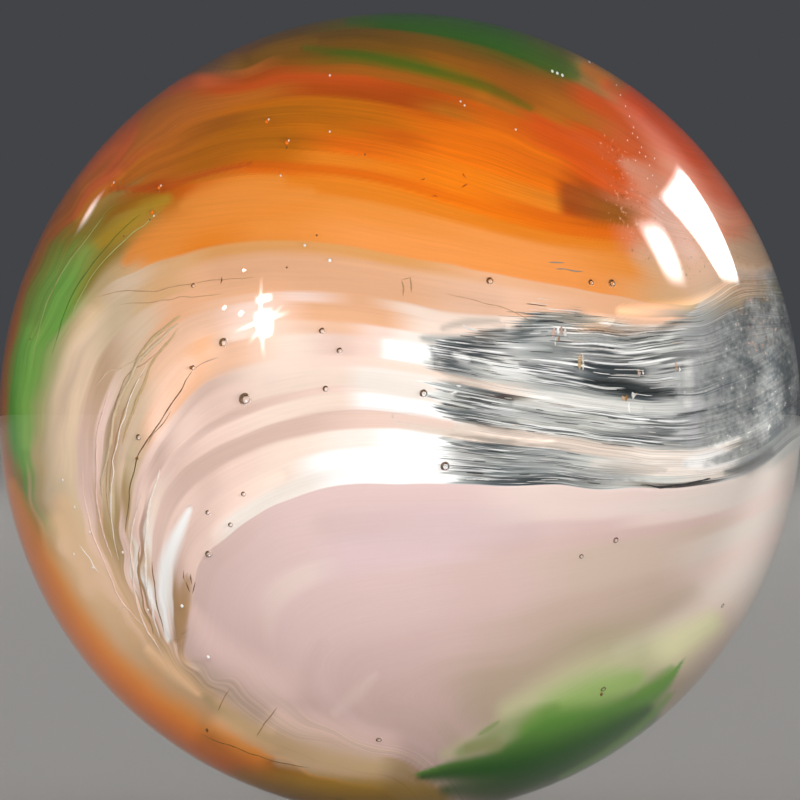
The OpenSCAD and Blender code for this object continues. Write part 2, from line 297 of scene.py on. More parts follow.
# The ribbons. Their whites toward the middle of the front are partly their own pale glass and partly painted
# glow, the light that passes through them.
FAN_STREAMS = [
    ({-9: "tan", -7: "tan", -6.3: "clay", -5.7: "clay", -5.2: "rose", -4.4: "blush", -3.4: "ivory",
     -2: "ivory", -1: "white"}, 0.14, 0.35, 0.2),
    ({-9: "sand", -7.4: "tan", -6.6: "clay", -6: "clay", -5.3: "mauve", -4.7: "rose", -3.6: "blush",
     -2.4: "cream", -1.4: "white"}, 0.14, 0.68, 0.14),
    ({-9.5: "sand", -8.2: "buff", -7.3: "blush", -6.4: "ivory", -5.2: "blush", -4.7: "blush", -4: "rose",
     -3.4: "blush", -2.2: "cream", -0.8: "ivory", 0: "white"}, 0.14, 1.06, 0.1),
    ({-9: "tan", -7: "rose", -5.6: "rose", -4.4: "mauve", -2: "mauve", -0.5: "rose", 0.6: "linen"}, 0.16,
     1.42, 0.12),
    ({-9: "tan", -8: "rose", -7.4: "white", -6.9: "buff", -6.3: "ivory", -5.6: "cream", -4.8: "rose",
     -3.8: "blush", -2.4: "cream", -1.2: "cream", -0.6: "white"}, 0.16, 1.74, 0.08),
    ({-9: "tan", -7.4: "clay", -6.4: "dusk", -5.6: "blush", -4.8: "rose", -3.6: "mauve", -1.4: "blush",
     -0.6: "ivory"}, 0.18, 1.9, 0.08),
    ({-9: "tan", -8.2: "rose", -7.4: "ivory", -6.9: "rose", -6.2: "blush", -5.4: "mauve", -4.6: "blush",
     -3.8: "rose", -2.2: "cream", -1.2: "cream", -0.7: "ivory"}, 0.16, 2.26, 0.1),
    ({-9: "khaki", -8.2: "ivory", -7.5: "buff", -6.4: "rose", -5.4: "blush", -4: "mauve", -2.4: "cream",
     -1.2: "blush", 0: "cream"}, 0.14, 2.46, 0.1),
    ({-9.6: "tan", -9: "blush", -8: "rose", -7.2: "khaki", -6.4: "pale sand", -5.4: "peach",
     -4.6: "apricot", -3.4: "peach", -2.2: "cream", -1.2: "rose", -0.5: "blush", -0.2: "white"}, 0.16, 2.88,
     0.1),
    ({-10: "tan", -9: "sand", -8: "khaki", -7: "buff", -6: "buff", -4.8: "peach", -4: "apricot",
     -3.2: "cream", -1.2: "peach", -0.4: "blush", 0.2: "ivory"}, 0.14, 3.1, 0.1),
    ({-10: "tan", -9: "khaki", -8: "pale sand", -7: "tan", -6: "pale sand", -5: "peach", -4: "peach",
     -3: "blush", -1.6: "apricot", -0.4: "apricot", 0.6: "cream"}, 0.18, 3.46, 0.1),
    ({-10: "sand", -9: "tan", -8: "rose", -7: "blush", -5.8: "buff", -4.6: "apricot", -3: "peach",
     -2: "blush", -0.8: "apricot", 0.4: "cream"}, 0.14, 3.64, 0.08),
    ({-14: "sand", -12: "tan", -10: "rose", -8.6: "mauve", -6.6: "tan", -5.4: "buff", -4.4: "apricot",
     -2: "apricot", 0: "apricot", 1.4: "peach"}, 0.14, 3.9, 0.1),
    ({-14: "sand", -12: "rose", -10: "pale sand", -7: "buff", -5.8: "pale sand", -4.8: "toffee",
     -3.8: "apricot", -0.5: "apricot", 2: "peach", 4.4: "apricot", 6: "taupe"}, 0.14, 4.3, 0.2),
    ({-15: "caramel", -12: "khaki", -10: "straw", -8: "celadon", -6.6: "straw", -5.6: "buff",
     -4.6: "toffee", -3.6: "caramel", 0: "caramel", 2: "apricot", 5: "apricot", 6.2: "drab"}, 0.12, 9, 1),
]
OUTER_STREAMS = [
    ({-5: "soft orange", -4: "orange", -2.6: "soft orange", -0.6: "light orange", 4: "light orange",
     5.6: "toffee", 6.4: "buff", 7.2: "fog"}, 0.17, 5.0, 0.4),
    ({-5.4: "ochre", -4.6: "amber", -3.8: "orange", -1: "soft orange", 3: "light orange",
     4.6: "soft orange", 5.4: "caramel", 6: "peach", 7.2: "linen"}, 0.19, 5.5, 0.35),
    ({-5.2: "brass", -4.2: "burnt orange", -3: "orange", 1: "orange", 4.2: "orange", 4.9: "salmon",
     5.6: "pink salmon", 7: "buff"}, 0.22, 5.8, 0.12),
    ({-5.2: "rust", -4: "honey", -2.8: "deep orange", -1: "orange", 1: "bright orange", 4.2: "deep orange",
     4.9: "salmon", 5.6: "pink salmon", 7.2: "tan"}, 0.28, 5.96, 0.1),
    ({-5.2: "crimson", -4.2: "rust", -3: "burnt orange", -1: "deep orange", 2: "hot orange",
     4.2: "deep orange", 4.9: "salmon", 5.6: "pink salmon", 7.2: "tan"}, 0.28, 6.12, 0.1),
    ({-5: "rust", -4: "dark amber", -2.6: "honey", -1.4: "orange", 1: "bright orange", 3: "deep orange",
     4.2: "burnt orange", 4.9: "salmon", 5.6: "pink salmon", 7.2: "tan"}, 0.33, 6.32, 0.14),
    ({-5: "rust", -4: "dark amber", -2.4: "amber", -1: "deep orange", 1.4: "bright orange", 3.2: "orange",
     3.5: "brick", 4.6: "brown amber", 5.2: "salmon", 7.2: "tan"}, 0.5, 6.7, 0.2),
    ({-5: "rust", -3.2: "amber", -1.4: "honey", 0: "burnt orange", 1: "hot orange", 3.1: "hot orange",
     3.5: "brick", 4.6: "brown amber", 5.4: "salmon", 7: "tan"}, 0.55, 7.02, 0.2),
    ({-5: "rust", -3.6: "brown amber", -2.6: "amber", -0.6: "honey", 1.2: "hot orange", 3: "deep orange",
     4: "brick", 5: "salmon", 6.4: "pink salmon", 7.4: "tan"}, 0.55, 7.28, 0.15),
    ({-6: "chestnut", -4.2: "rust", -3: "honey", -1: "honey", 0.6: "burnt orange", 1.8: "hot orange",
     3: "hot orange", 4: "scarlet", 5: "coral", 6.4: "salmon", 7.5: "tan"}, 0.44, 7.5, 0.16),
    ({-6: "chestnut", -4.2: "chestnut", -3: "rust", -1.6: "brick", 0: "brick", 1: "copper",
     2: "deep orange", 3.6: "scarlet", 5: "coral", 6.6: "salmon", 7.8: "tan"}, 0.39, 7.72, 0.16),
    ({-7: "chestnut", -4.6: "chestnut", -3.6: "crimson", -1: "crimson", 0.4: "brick", 2: "burnt orange",
     3: "scarlet", 4.6: "scarlet", 5.4: "coral", 6.8: "coral", 8: "tan"}, 0.33, 7.98, 0.16),
    ({-8: "chestnut", -5: "dull red", -4: "dull red", -3: "brick", -1: "brown amber", 1.2: "brown amber",
     2.2: "copper", 3: "scarlet", 5: "coral", 6.4: "salmon"}, 0.33, 8.26, 0.14),
    ({-6: "chestnut", -4: "plum", -3: "chestnut", -2.2: "bronze", -1: "dark olive", 0.4: "dark olive",
     1.4: "bronze", 2.4: "brown amber", 3.2: "copper", 4: "scarlet", 5.4: "coral"}, 0.28, 8.46, 0.12),
    ({-5: "mahogany", -4: "plum", -3: "bronze", 0: "bronze", 1: "brass", 2.4: "brown amber", 3.6: "copper",
     5: "coral", 6.2: "salmon"}, 0.33, 8.76, 0.2),
    ({-4: "mahogany", -2.6: "bronze", -1: "olive brown", 1: "bronze", 2.2: "bronze", 3.2: "brown amber",
     4: "scarlet", 6: "coral"}, 0.33, 9.04, 0.12),
    ({-3.6: "mahogany", -2: "olive brown", -1: "dark olive", -0.2: "crown green", 2: "crown green",
     3.2: "dark olive", 3.9: "ochre", 4.4: "ochre", 5: "scarlet", 6: "coral"}, 0.28, 12, 1),
]
# The left side outside the ribbons: the green streak and the orange along the rim below it.
LEFT_STREAMS = [
    ({-19: "ochre", -16: "copper", -14: "warm tan", -12: "straw", -10: "celadon", -8.6: "fern",
     -7: "celadon", -6: "straw", -5: "toffee"}, 0.5, 4.75, 0.3),
    ({-19: "brass", -16: "copper", -13.6: "warm tan", -12: "straw", -11: "fern", -9: "grass", -7.4: "grass",
     -6.2: "mustard", -5.2: "ochre"}, 0.8, 5.3, 0.4),
    ({-19: "brass", -16: "copper", -13.6: "copper", -12.2: "mustard", -11: "grass", -9: "meadow",
     -7.6: "meadow", -6.4: "mustard", -5.2: "brass"}, 0.8, 6.0, 0.4),
    ({-19: "brass", -16.4: "rust", -13.8: "dark amber", -12.2: "mustard", -11: "meadow", -8: "grass",
     -7: "mustard", -6: "ochre", -5.2: "rust"}, 0.8, 6.7, 0.4),
    ({-19: "rust", -16.4: "brick", -14: "brown amber", -12: "chestnut", -11: "mustard", -9.4: "moss",
     -7.8: "mustard", -6.6: "rust", -5.2: "rust"}, 0.7, 7.3, 0.4),
    ({-19: "chestnut", -14: "chestnut", -10: "chestnut", -8: "chestnut", -6: "dull red", -5: "chestnut"},
     0.5, 12, 1),
]
# The clear window: what shows through it, in the same form. Its greys are painted dark seen into the clear
# glass and its whites painted glints of its striae; the ribbons that cross it keep their own colours.
PANE_STREAMS = [
    ({1.0: "white", 1.3: "pewter", 2: "lead", 2.8: "graphite", 3.4: "pewter", 4.4: "mist", 4.9: "taupe",
     5.4: "dark brown", 6.2: "ink", 6.6: "fog", 7.4: "pewter"}, 0.9, 0.2, 0.08),
    ({1.0: "white", 1.3: "ash", 2: "iron", 3: "pewter", 4: "fog", 5.2: "mist", 6.4: "bone", 6.8: "taupe",
     7.6: "ash"}, 1.0, 0.5, 0.15),
    ({0.9: "white", 1.3: "fog", 2.2: "pewter", 3: "ash", 4: "mist", 5: "bone", 6.5: "ivory", 6.85: "ash",
     7.6: "pewter"}, 1.0, 0.78, 0.1),
    ({0.7: "white", 1.0: "ash", 1.7: "lead", 2.3: "pewter", 3.2: "ash", 4: "mist", 5: "bone", 6.6: "ivory",
     6.95: "taupe", 7.6: "pewter"}, 1.0, 1.04, 0.08),
    ({0.8: "linen", 2: "linen", 4: "linen", 5: "bone", 6.6: "ivory", 6.95: "taupe", 7.6: "ash"}, 0.05, 1.46,
     0.08),
    ({0.6: "white", 0.9: "pewter", 1.4: "iron", 1.9: "ash", 2.4: "mist", 3.6: "mist", 4.4: "pewter",
     5.2: "fog", 5.6: "pewter", 6: "ash", 6.6: "mist", 7.5: "pewter"}, 1.0, 1.76, 0.1),
    ({0.5: "white", 1.1: "mist", 1.6: "ash", 2.4: "fog", 4.2: "mist", 4.9: "ash", 5.3: "pewter", 5.8: "fog",
     6.5: "pewter", 7.5: "ash"}, 0.9, 1.96, 0.1),
    ({0.5: "white", 1: "mist", 2: "ash", 3: "mist", 4.4: "mist", 6: "ash", 7.5: "pewter"}, 0.9, 2.08, 0.06),
    ({0.6: "white", 0.85: "ash", 1.4: "pewter", 2.0: "dark brown", 2.6: "taupe", 3: "fog", 5: "fog",
     6: "pewter", 7.5: "taupe"}, 0.8, 2.2, 0.06),
    ({0.6: "cream", 1: "linen", 2: "linen", 3: "pearl", 4.4: "pearl", 5.2: "mist", 6: "fog", 7.4: "pewter"},
     0.05, 2.42, 0.06),
    ({0.4: "white", 0.7: "mist", 1: "lead", 1.5: "ash", 2: "mist", 3: "ash", 4: "pewter", 5: "lead",
     5.6: "fog", 6.4: "ash", 7.4: "pewter"}, 0.9, 2.62, 0.08),
    ({0.4: "white", 0.7: "fog", 1.2: "graphite", 1.5: "ash", 1.9: "pearl", 2.9: "fog", 3.4: "ash",
     4: "lead", 4.6: "pewter", 5.2: "fog", 6.5: "ash", 7.4: "pewter"}, 0.9, 2.86, 0.08),
    ({0.6: "ivory", 0.8: "pewter", 1.3: "lead", 2: "fog", 3: "pewter", 4: "fog", 5: "mist", 6: "fog",
     7.4: "taupe"}, 1.0, 3.1, 0.1),
    ({0.5: "peach", 1: "fog", 1.6: "taupe", 2: "fog", 2.4: "iron", 3: "fog", 4: "ash", 4.5: "pewter",
     5.2: "mist", 6: "fog", 7.4: "taupe"}, 1.0, 3.36, 0.1),
    ({1: "buff", 2: "linen", 2.6: "iron", 3.2: "pewter", 4: "tan", 5: "linen", 6: "fog", 6.6: "taupe",
     7.4: "drab"}, 0.9, 3.6, 0.1),
    ({2: "buff", 2.6: "taupe", 3.6: "taupe", 4.4: "buff", 5.4: "buff", 6: "ash", 7: "drab", 8: "drab"}, 0.8,
     9, 1),
]

# Where the window begins on the left at each height over the seam, and where it ends above, along the flow.
PANE_LEFT = [
    (0, 1.1), (1.08, 0.8), (1.2, 1.6), (1.4, 1.6), (1.5, 0.75), (2.2, 0.6), (2.3, 1.0), (2.42, 0.5),
    (3.0, 0.7), (3.4, 1.1), (3.9, 2.3),
]
PANE_TOP = [
    (0.5, 2.85), (1.0, 3.15), (1.6, 3.35), (2.0, 3.45), (2.4, 3.6), (2.8, 3.8), (3.6, 3.95), (4.4, 3.7),
    (5.1, 3.5), (5.8, 4.05), (6.1, 4.5), (6.5, 4.75), (7.0, 5.0), (8.0, 5.3),
]

# Soft washes of colour over the streams: colour, strength, softness and (across, height, reach) along each.
WASHES = [
    ("warm sand", 0.8, 0.9, [(-6.76, -1.81, 0.2), (-6.2, -3.45, 0.5), (-5.45, -4.55, 0.48),
     (-4.5, -5.36, 0.42), (-3.5, -6.06, 0.3), (-2.6, -6.5, 0.2)]),
    ("rim amber", 0.85, 0.8, [(-7.75, -1.4, 0.1), (-7.4, -2.4, 0.25), (-6.66, -3.85, 0.3),
     (-5.88, -4.94, 0.34), (-4.9, -5.85, 0.4), (-3.8, -6.56, 0.4), (-2.91, -6.9, 0.25)]),
    ("rim orange", 0.9, 0.7, [(-8.15, -0.6, 0.1), (-8.05, -1.6, 0.3), (-7.7, -2.8, 0.44),
     (-7.08, -4.1, 0.5), (-6.25, -5.25, 0.54), (-5.24, -6.24, 0.56), (-4.08, -7.06, 0.55),
     (-3.04, -7.52, 0.5)]),
    ("olive gold", 0.85, 0.7, [(-3.1, -7.4, 0.3), (-2.2, -7.5, 0.36), (-1.0, -7.6, 0.34), (0.0, -7.6, 0.3),
     (0.8, -7.65, 0.2)]),
    ("pale sand", 0.7, 0.8, [(-2.4, -6.9, 0.12), (-1.2, -7.0, 0.2), (-0.2, -7.05, 0.12)]),
    ("soft orange", 0.85, 0.9, [(-5.45, 3.05, 0.1), (-5.15, 3.35, 0.22), (-4.75, 3.6, 0.35),
     (-4.0, 3.95, 0.35), (-3.0, 4.25, 0.3), (-1.8, 4.4, 0.12)]),
    ("soft orange", 0.7, 0.9, [(-4.3, 4.15, 0.1), (-3.9, 4.35, 0.22), (-3.3, 4.5, 0.22),
     (-2.4, 4.65, 0.12)]),
    ("olive gold", 0.8, 0.9, [(-6.0, 3.4, 0.12), (-5.5, 3.75, 0.2), (-5.05, 4.1, 0.18), (-4.65, 4.3, 0.1)]),
    ("moss", 0.6, 0.9, [(-7.3, 1.6, 0.12), (-7.15, 2.6, 0.2), (-6.9, 3.3, 0.15)]),
    # Painted light: a lighter buff down the left side.
    ("buff", 0.45, 0.9, [(-6.7, -1.1, 0.2), (-6.85, 0.1, 0.25), (-6.6, 1.2, 0.2), (-6.2, 2.0, 0.15)]),
    ("crimson", 0.7, 0.8, [(-5.75, 4.5, 0.03), (-5.2, 4.5, 0.07), (-4.75, 4.48, 0.07), (-4.3, 4.66, 0.06),
     (-3.7, 4.84, 0.05), (-3.0, 4.98, 0.03)]),
    ("bright leaf", 0.3, 0.8, [(-7.45, -0.6, 0.12), (-7.4, 0.6, 0.25), (-7.2, 1.6, 0.3), (-6.75, 2.6, 0.35),
     (-6.3, 3.2, 0.25)]),
    ("top green", 0.7, 0.8, [(-1.0, 7.85, 0.1), (0.0, 7.85, 0.16), (1.2, 7.66, 0.24), (2.4, 7.28, 0.28),
     (3.2, 6.92, 0.24), (3.5, 6.78, 0.12)]),
    ("top green", 0.5, 0.9, [(-1.9, 7.3, 0.06), (-0.4, 7.12, 0.1), (0.8, 6.85, 0.12), (1.8, 6.5, 0.1),
     (2.6, 6.1, 0.06)]),
    ("copper", 0.9, 0.7, [(3.75, 6.9, 0.14), (4.05, 6.65, 0.2)]),
    ("scarlet", 0.7, 0.8, [(4.15, 6.55, 0.14), (4.45, 6.2, 0.2)]),
    ("rim scarlet", 0.6, 0.8, [(4.6, 6.3, 0.2), (5.3, 5.7, 0.3), (5.9, 5.0, 0.3), (6.5, 4.2, 0.25)]),
    ("mahogany", 0.3, 0.45, [(3.4, 4.35, 0.24), (3.9, 4.2, 0.32), (4.6, 4.1, 0.2)]),
    # Painted haze of the window light over the scuffed glass.
    ("pink salmon", 0.6, 0.9, [(4.5, 5.0, 0.1), (4.85, 4.75, 0.25), (5.2, 4.3, 0.45), (5.7, 4.0, 0.5),
     (6.3, 3.9, 0.4)]),
    ("frosted tan", 0.7, 0.9, [(4.9, 3.2, 0.25), (5.5, 2.8, 0.4), (6.2, 2.7, 0.45), (6.9, 2.6, 0.4)]),
    ("blush", 0.35, 0.9, [(-4.2, 1.0, 0.15), (-4.6, 0.4, 0.26), (-4.85, -0.3, 0.15)]),
    ("rose", 0.5, 0.9, [(5.1, 4.2, 0.12), (5.45, 3.7, 0.26), (5.8, 3.2, 0.15)]),
    ("clay", 0.8, 0.5, [(-4.24, -3.3, 0.08), (-4.33, -3.8, 0.15), (-4.45, -4.5, 0.08)]),
    ("white", 0.95, 0.8, [(-4.2, -1.9, 0.05), (-4.46, -2.45, 0.12), (-4.66, -3.0, 0.14),
     (-4.74, -3.55, 0.12), (-4.7, -4.05, 0.08), (-4.62, -4.5, 0.05)]),
    # The greys and whites from here on, in the window, are painted: the dark seen into the clear glass and
    # the glints of its striae.
    ("lilac grey", 0.45, 0.8, [(5.84, 1.3, 0.06), (5.86, 0.4, 0.1), (5.84, -0.6, 0.08)]),
    ("white", 0.6, 0.9, [(1.9, 0.92, 0.08), (2.3, 0.86, 0.14), (2.65, 0.8, 0.08)]),
    ("pearl", 0.7, 0.8, [(2.3, 0.22, 0.06), (3.0, 0.22, 0.1), (3.8, 0.14, 0.1), (4.8, 0.08, 0.07)]),
    ("pewter", 0.75, 0.9, [(0.45, 1.52, 0.05), (0.85, 1.47, 0.12), (1.5, 1.42, 0.1)]),
    ("taupe", 0.5, 0.9, [(0.85, 1.72, 0.05), (1.35, 1.84, 0.08), (1.95, 1.86, 0.05)]),
    ("graphite", 0.55, 0.8, [(0.62, 1.3, 0.04), (0.72, 1.1, 0.07), (0.7, 0.98, 0.04)]),
    ("graphite", 0.7, 0.8, [(0.78, 1.42, 0.06), (1.25, 1.36, 0.11), (1.6, 1.2, 0.05)]),
    ("white", 0.8, 0.7, [(1.08, 1.2, 0.05), (1.24, 1.14, 0.09), (1.36, 1.08, 0.05)]),
    ("ink", 0.75, 0.7, [(1.1, 0.38, 0.04), (1.45, 0.29, 0.08), (1.95, 0.21, 0.04)]),
    ("ink", 0.3, 0.7, [(1.2, 0.05, 0.05), (1.7, -0.04, 0.07), (2.3, -0.14, 0.04)]),
    ("lead", 0.4, 0.9, [(3.3, 1.26, 0.06), (4.1, 1.16, 0.12), (4.6, 1.2, 0.14), (5.1, 1.16, 0.08)]),
    ("lead", 0.75, 0.9, [(2.4, 1.0, 0.04), (2.9, 0.9, 0.11), (3.5, 0.84, 0.06)]),
    ("lead", 0.45, 0.9, [(5.55, 1.5, 0.08), (6.05, 1.64, 0.16), (6.6, 1.9, 0.12)]),
    ("graphite", 0.95, 0.6, [(3.5, 1.0, 0.06), (4.2, 0.9, 0.15), (4.85, 0.84, 0.09)]),
    ("ink", 0.95, 0.6, [(3.7, 0.62, 0.08), (4.4, 0.55, 0.17), (4.95, 0.47, 0.15), (5.5, 0.4, 0.08)]),
    ("rose", 0.75, 0.9, [(-0.1, -0.05, 0.04), (0.5, -0.12, 0.1), (1.0, -0.2, 0.08)]),
    ("pearl", 0.7, 0.7, [(5.74, 1.1, 0.06), (5.76, 0.7, 0.09), (5.76, 0.2, 0.08)]),
    ("graphite", 0.6, 0.8, [(4.3, -0.5, 0.06), (4.9, -0.48, 0.09), (5.5, -0.34, 0.05)]),
    ("bone", 0.5, 0.7, [(3.9, -1.0, 0.1), (4.9, -1.0, 0.2), (5.6, -0.95, 0.2)]),
    ("white", 0.7, 0.6, [(5.75, -0.98, 0.1), (6.2, -0.9, 0.19), (6.62, -0.86, 0.12)]),
    ("pearl", 0.7, 0.8, [(6.3, -0.6, 0.05), (6.8, -0.42, 0.09), (7.2, -0.24, 0.06)]),
    ("lead", 0.8, 0.8, [(6.5, -1.16, 0.05), (6.95, -1.08, 0.13), (7.4, -0.8, 0.08)]),
    ("opal khaki", 0.35, 0.9, [(1.4, -5.9, 0.3), (2.8, -5.1, 0.4), (4.4, -4.3, 0.3), (5.8, -3.6, 0.2)]),
    ("opal pearl", 0.4, 0.9, [(4.4, -4.75, 0.15), (5.3, -4.3, 0.2), (6.4, -3.6, 0.25), (7.2, -2.6, 0.3)]),
    ("opal light", 0.45, 0.9, [(-1.3, -5.95, 0.08), (-0.9, -5.6, 0.13), (-0.5, -5.2, 0.07)]),
    ("opal shade", 0.5, 0.9, [(-1.6, -4.6, 0.1), (-1.9, -5.3, 0.18), (-2.0, -5.9, 0.12)]),
    ("opal pearl", 0.5, 0.9, [(5.2, -1.75, 0.1), (6.6, -1.6, 0.25), (7.6, -1.3, 0.35)]),
    # The brown edge under the opal, then the green at the foot.
    ("opal tan", 0.85, 0.9, [(-4.1, -5.0, 0.1), (-3.45, -5.5, 0.2), (-2.9, -5.95, 0.24),
     (-2.1, -6.35, 0.26), (-1.3, -6.65, 0.24), (-0.5, -6.85, 0.16)]),
    ("straw", 0.75, 0.9, [(-3.9, -5.65, 0.08), (-3.3, -6.1, 0.16), (-2.6, -6.5, 0.18), (-1.8, -6.8, 0.18),
     (-0.9, -7.0, 0.18), (0.0, -7.1, 0.15)]),
    ("sage", 0.85, 0.9, [(2.2, -5.95, 0.25), (3.4, -5.45, 0.42), (4.5, -5.05, 0.45), (5.4, -4.65, 0.4),
     (6.2, -4.2, 0.25)]),
    ("sage", 0.6, 0.9, [(0.9, -6.8, 0.12), (1.5, -6.65, 0.25), (2.2, -6.4, 0.3)]),
    ("bright leaf", 0.85, 0.9, [(2.5, -6.3, 0.12), (3.2, -5.9, 0.35), (4.0, -5.55, 0.36),
     (4.7, -5.3, 0.2)]),
    ("fern", 0.5, 0.9, [(1.2, -6.75, 0.1), (1.9, -6.4, 0.15), (2.5, -6.1, 0.2), (3.1, -5.85, 0.1)]),
    ("grass", 0.95, 0.5, [(0.3, -7.2, 0.03), (1.0, -7.08, 0.14), (1.8, -7.0, 0.22), (2.5, -6.75, 0.4),
     (3.1, -6.4, 0.5), (4.0, -6.2, 0.42), (4.7, -5.85, 0.3), (5.15, -5.5, 0.15), (5.45, -5.2, 0.06),
     (5.65, -4.9, 0.02)]),
    ("forest", 0.9, 0.9, [(0.4, -7.25, 0.05), (0.9, -7.2, 0.15), (1.6, -7.15, 0.3), (2.6, -7.05, 0.45),
     (3.5, -6.75, 0.4), (4.3, -6.35, 0.3), (4.95, -5.95, 0.14)]),
    ("bottle", 0.8, 0.9, [(0.9, -7.5, 0.1), (2.0, -7.5, 0.3), (3.2, -7.2, 0.32), (4.2, -6.75, 0.3),
     (5.0, -6.15, 0.2)]),
    ("lime green", 0.75, 0.8, [(4.8, -5.6, 0.08), (5.15, -5.38, 0.16), (5.42, -5.12, 0.1)]),
    ("lime green", 0.7, 0.7, [(3.2, -7.25, 0.04), (4.1, -6.78, 0.08), (4.85, -6.2, 0.08),
     (5.4, -5.6, 0.05)]),
    ("celadon", 0.8, 0.8, [(1.35, -6.66, 0.1), (1.9, -6.58, 0.15)]),
    ("fern", 0.6, 0.9, [(1.55, -6.4, 0.02), (1.75, -6.28, 0.05), (1.95, -6.15, 0.03)]),
]

# Painted light and shade over the streams, where the glass is painted lighter or darker than they are,
# such as light on the lower and left sides and shade along the right rim: the gain, then (across, height,
# reach) along it.
PAINTED_LIGHT_AND_SHADE = [
    # Painted light down the left side and round the lower left.
    (0.3, [(-6.2, 2.0, 0.3), (-6.6, 0.6, 0.45), (-6.6, -1.0, 0.45), (-6.3, -2.3, 0.45), (-5.8, -3.3, 0.35),
     (-5.1, -4.3, 0.3)]),
    (0.4, [(-6.95, -2.2, 0.2), (-6.75, -2.95, 0.3), (-6.35, -3.75, 0.35), (-5.95, -4.5, 0.35),
     (-5.2, -5.4, 0.3), (-4.2, -6.2, 0.3)]),
    (0.25, [(-3.9, 1.3, 0.3), (-4.6, 0.5, 0.35), (-4.9, -0.3, 0.2)]),
    (0.9, [(2.2, 1.72, 0.08), (3.0, 1.9, 0.12), (3.8, 1.86, 0.12), (4.2, 1.84, 0.06)]),
    (0.4, [(1.0, 0.6, 0.02), (1.6, 0.5, 0.08), (2.2, 0.4, 0.06), (3.2, 0.3, 0.01)]),
    (0.7, [(0.9, -0.5, 0.02), (1.6, -0.54, 0.12), (2.2, -0.5, 0.06), (3.2, -0.55, 0.01)]),
    (0.5, [(1.9, 1.45, 0.03), (2.4, 1.36, 0.1), (3.0, 1.3, 0.02)]),
    (0.8, [(6.2, -0.66, 0.02), (6.7, -0.46, 0.08), (7.3, -0.2, 0.05)]),
    (-0.3, [(3.4, -1.2, 0.02), (4.3, -1.14, 0.16), (5.3, -1.12, 0.03)]),
    (0.4, [(-5.0, -4.7, 0.1), (-4.55, -5.1, 0.14), (-4.0, -5.6, 0.05)]),
    (0.4, [(-6.4, 3.9, 0.1), (-6.05, 4.4, 0.2), (-5.6, 4.8, 0.1)]),
    (0.75, [(4.4, 2.06, 0.08), (5.4, 2.06, 0.15), (6.2, 2.3, 0.12), (6.6, 2.6, 0.1)]),
    (0.9, [(7.4, 1.2, 0.1), (7.4, 0.4, 0.2), (7.42, 0.0, 0.25), (7.35, -0.4, 0.15)]),
    # Painted shade along the right rim.
    (-0.2, [(8.35, -0.8, 0.2), (8.25, -2.4, 0.65), (7.85, -3.8, 0.6), (7.1, -5.0, 0.2)]),
    (0.4, [(-3.9, 6.75, 0.2), (-3.3, 7.0, 0.15)]),
    (0.4, [(3.6, 7.0, 0.12), (4.1, 6.75, 0.15)]),
    (0.2, [(-4.15, -3.9, 0.12), (-3.9, -4.4, 0.25), (-3.2, -5.0, 0.3), (-2.4, -5.5, 0.4)]),
    (0.2, [(-4.7, -4.5, 0.04), (-4.55, -4.75, 0.12), (-4.1, -5.1, 0.06)]),
    (0.2, [(-3.6, -5.75, 0.1), (-3.1, -6.1, 0.2), (-2.6, -6.3, 0.1)]),
    (0.12, [(-5.5, -1.0, 0.08), (-5.62, -1.7, 0.2), (-5.5, -2.4, 0.08)]),
    (0.12, [(-3.7, -2.4, 0.1), (-3.1, -1.65, 0.22), (-2.4, -1.25, 0.1)]),
    (0.3, [(7.3, 2.7, 0.08), (7.42, 2.2, 0.16), (7.4, 1.6, 0.08)]),
    (0.2, [(-2.9, 7.15, 0.08), (-2.3, 7.33, 0.16), (-1.7, 7.45, 0.08)]),
    (0.15, [(4.0, 6.6, 0.1), (4.4, 6.3, 0.2), (4.8, 6.0, 0.1)]),
    (0.2, [(-6.35, 4.5, 0.1), (-6.08, 4.9, 0.22), (-5.7, 5.3, 0.1)]),
    # Painted light along the bottom.
    (0.4, [(-2.4, -6.15, 0.25), (-1.4, -6.5, 0.4), (-0.4, -6.7, 0.35)]),
    (0.5, [(-3.6, -6.2, 0.2), (-2.8, -6.7, 0.3), (-1.8, -7.1, 0.35), (-0.6, -7.2, 0.3)]),
    (-0.08, [(-2.4, 0.5, 0.3), (-1.0, 0.6, 0.4), (0.2, 0.4, 0.3)]),
    (-0.08, [(-1.4, -2.2, 0.3), (0.6, -2.2, 0.5), (2.4, -2.3, 0.4)]),
    (0.4, [(7.4, -1.2, 0.25), (7.2, -2.2, 0.4), (6.5, -3.7, 0.45), (5.5, -4.7, 0.4)]),
    (-0.13, [(-3.5, 2.9, 0.4), (-2.2, 2.9, 0.5), (-0.8, 2.6, 0.55), (0.5, 2.4, 0.5), (1.8, 2.2, 0.3)]),
    (0.25, [(-5.4, 5.2, 0.3), (-4.2, 6.1, 0.35), (-3.0, 6.6, 0.35), (-1.6, 6.8, 0.35), (0.2, 6.8, 0.3),
     (1.6, 6.4, 0.2)]),
    (0.25, [(-7.4, 1.6, 0.2), (-7.6, 0.2, 0.25), (-7.5, -1.0, 0.2)]),
]

# Where the skin is scuffed, as (across, height, reach).
SCUFFED = [
    (4.0, 5.6, 0.2), (4.5, 4.8, 0.5), (4.6, 4.0, 0.7), (5.3, 3.3, 0.8), (6.4, 3.0, 0.7), (7.0, 2.4, 0.6),
    (7.2, 1.4, 0.5),
]

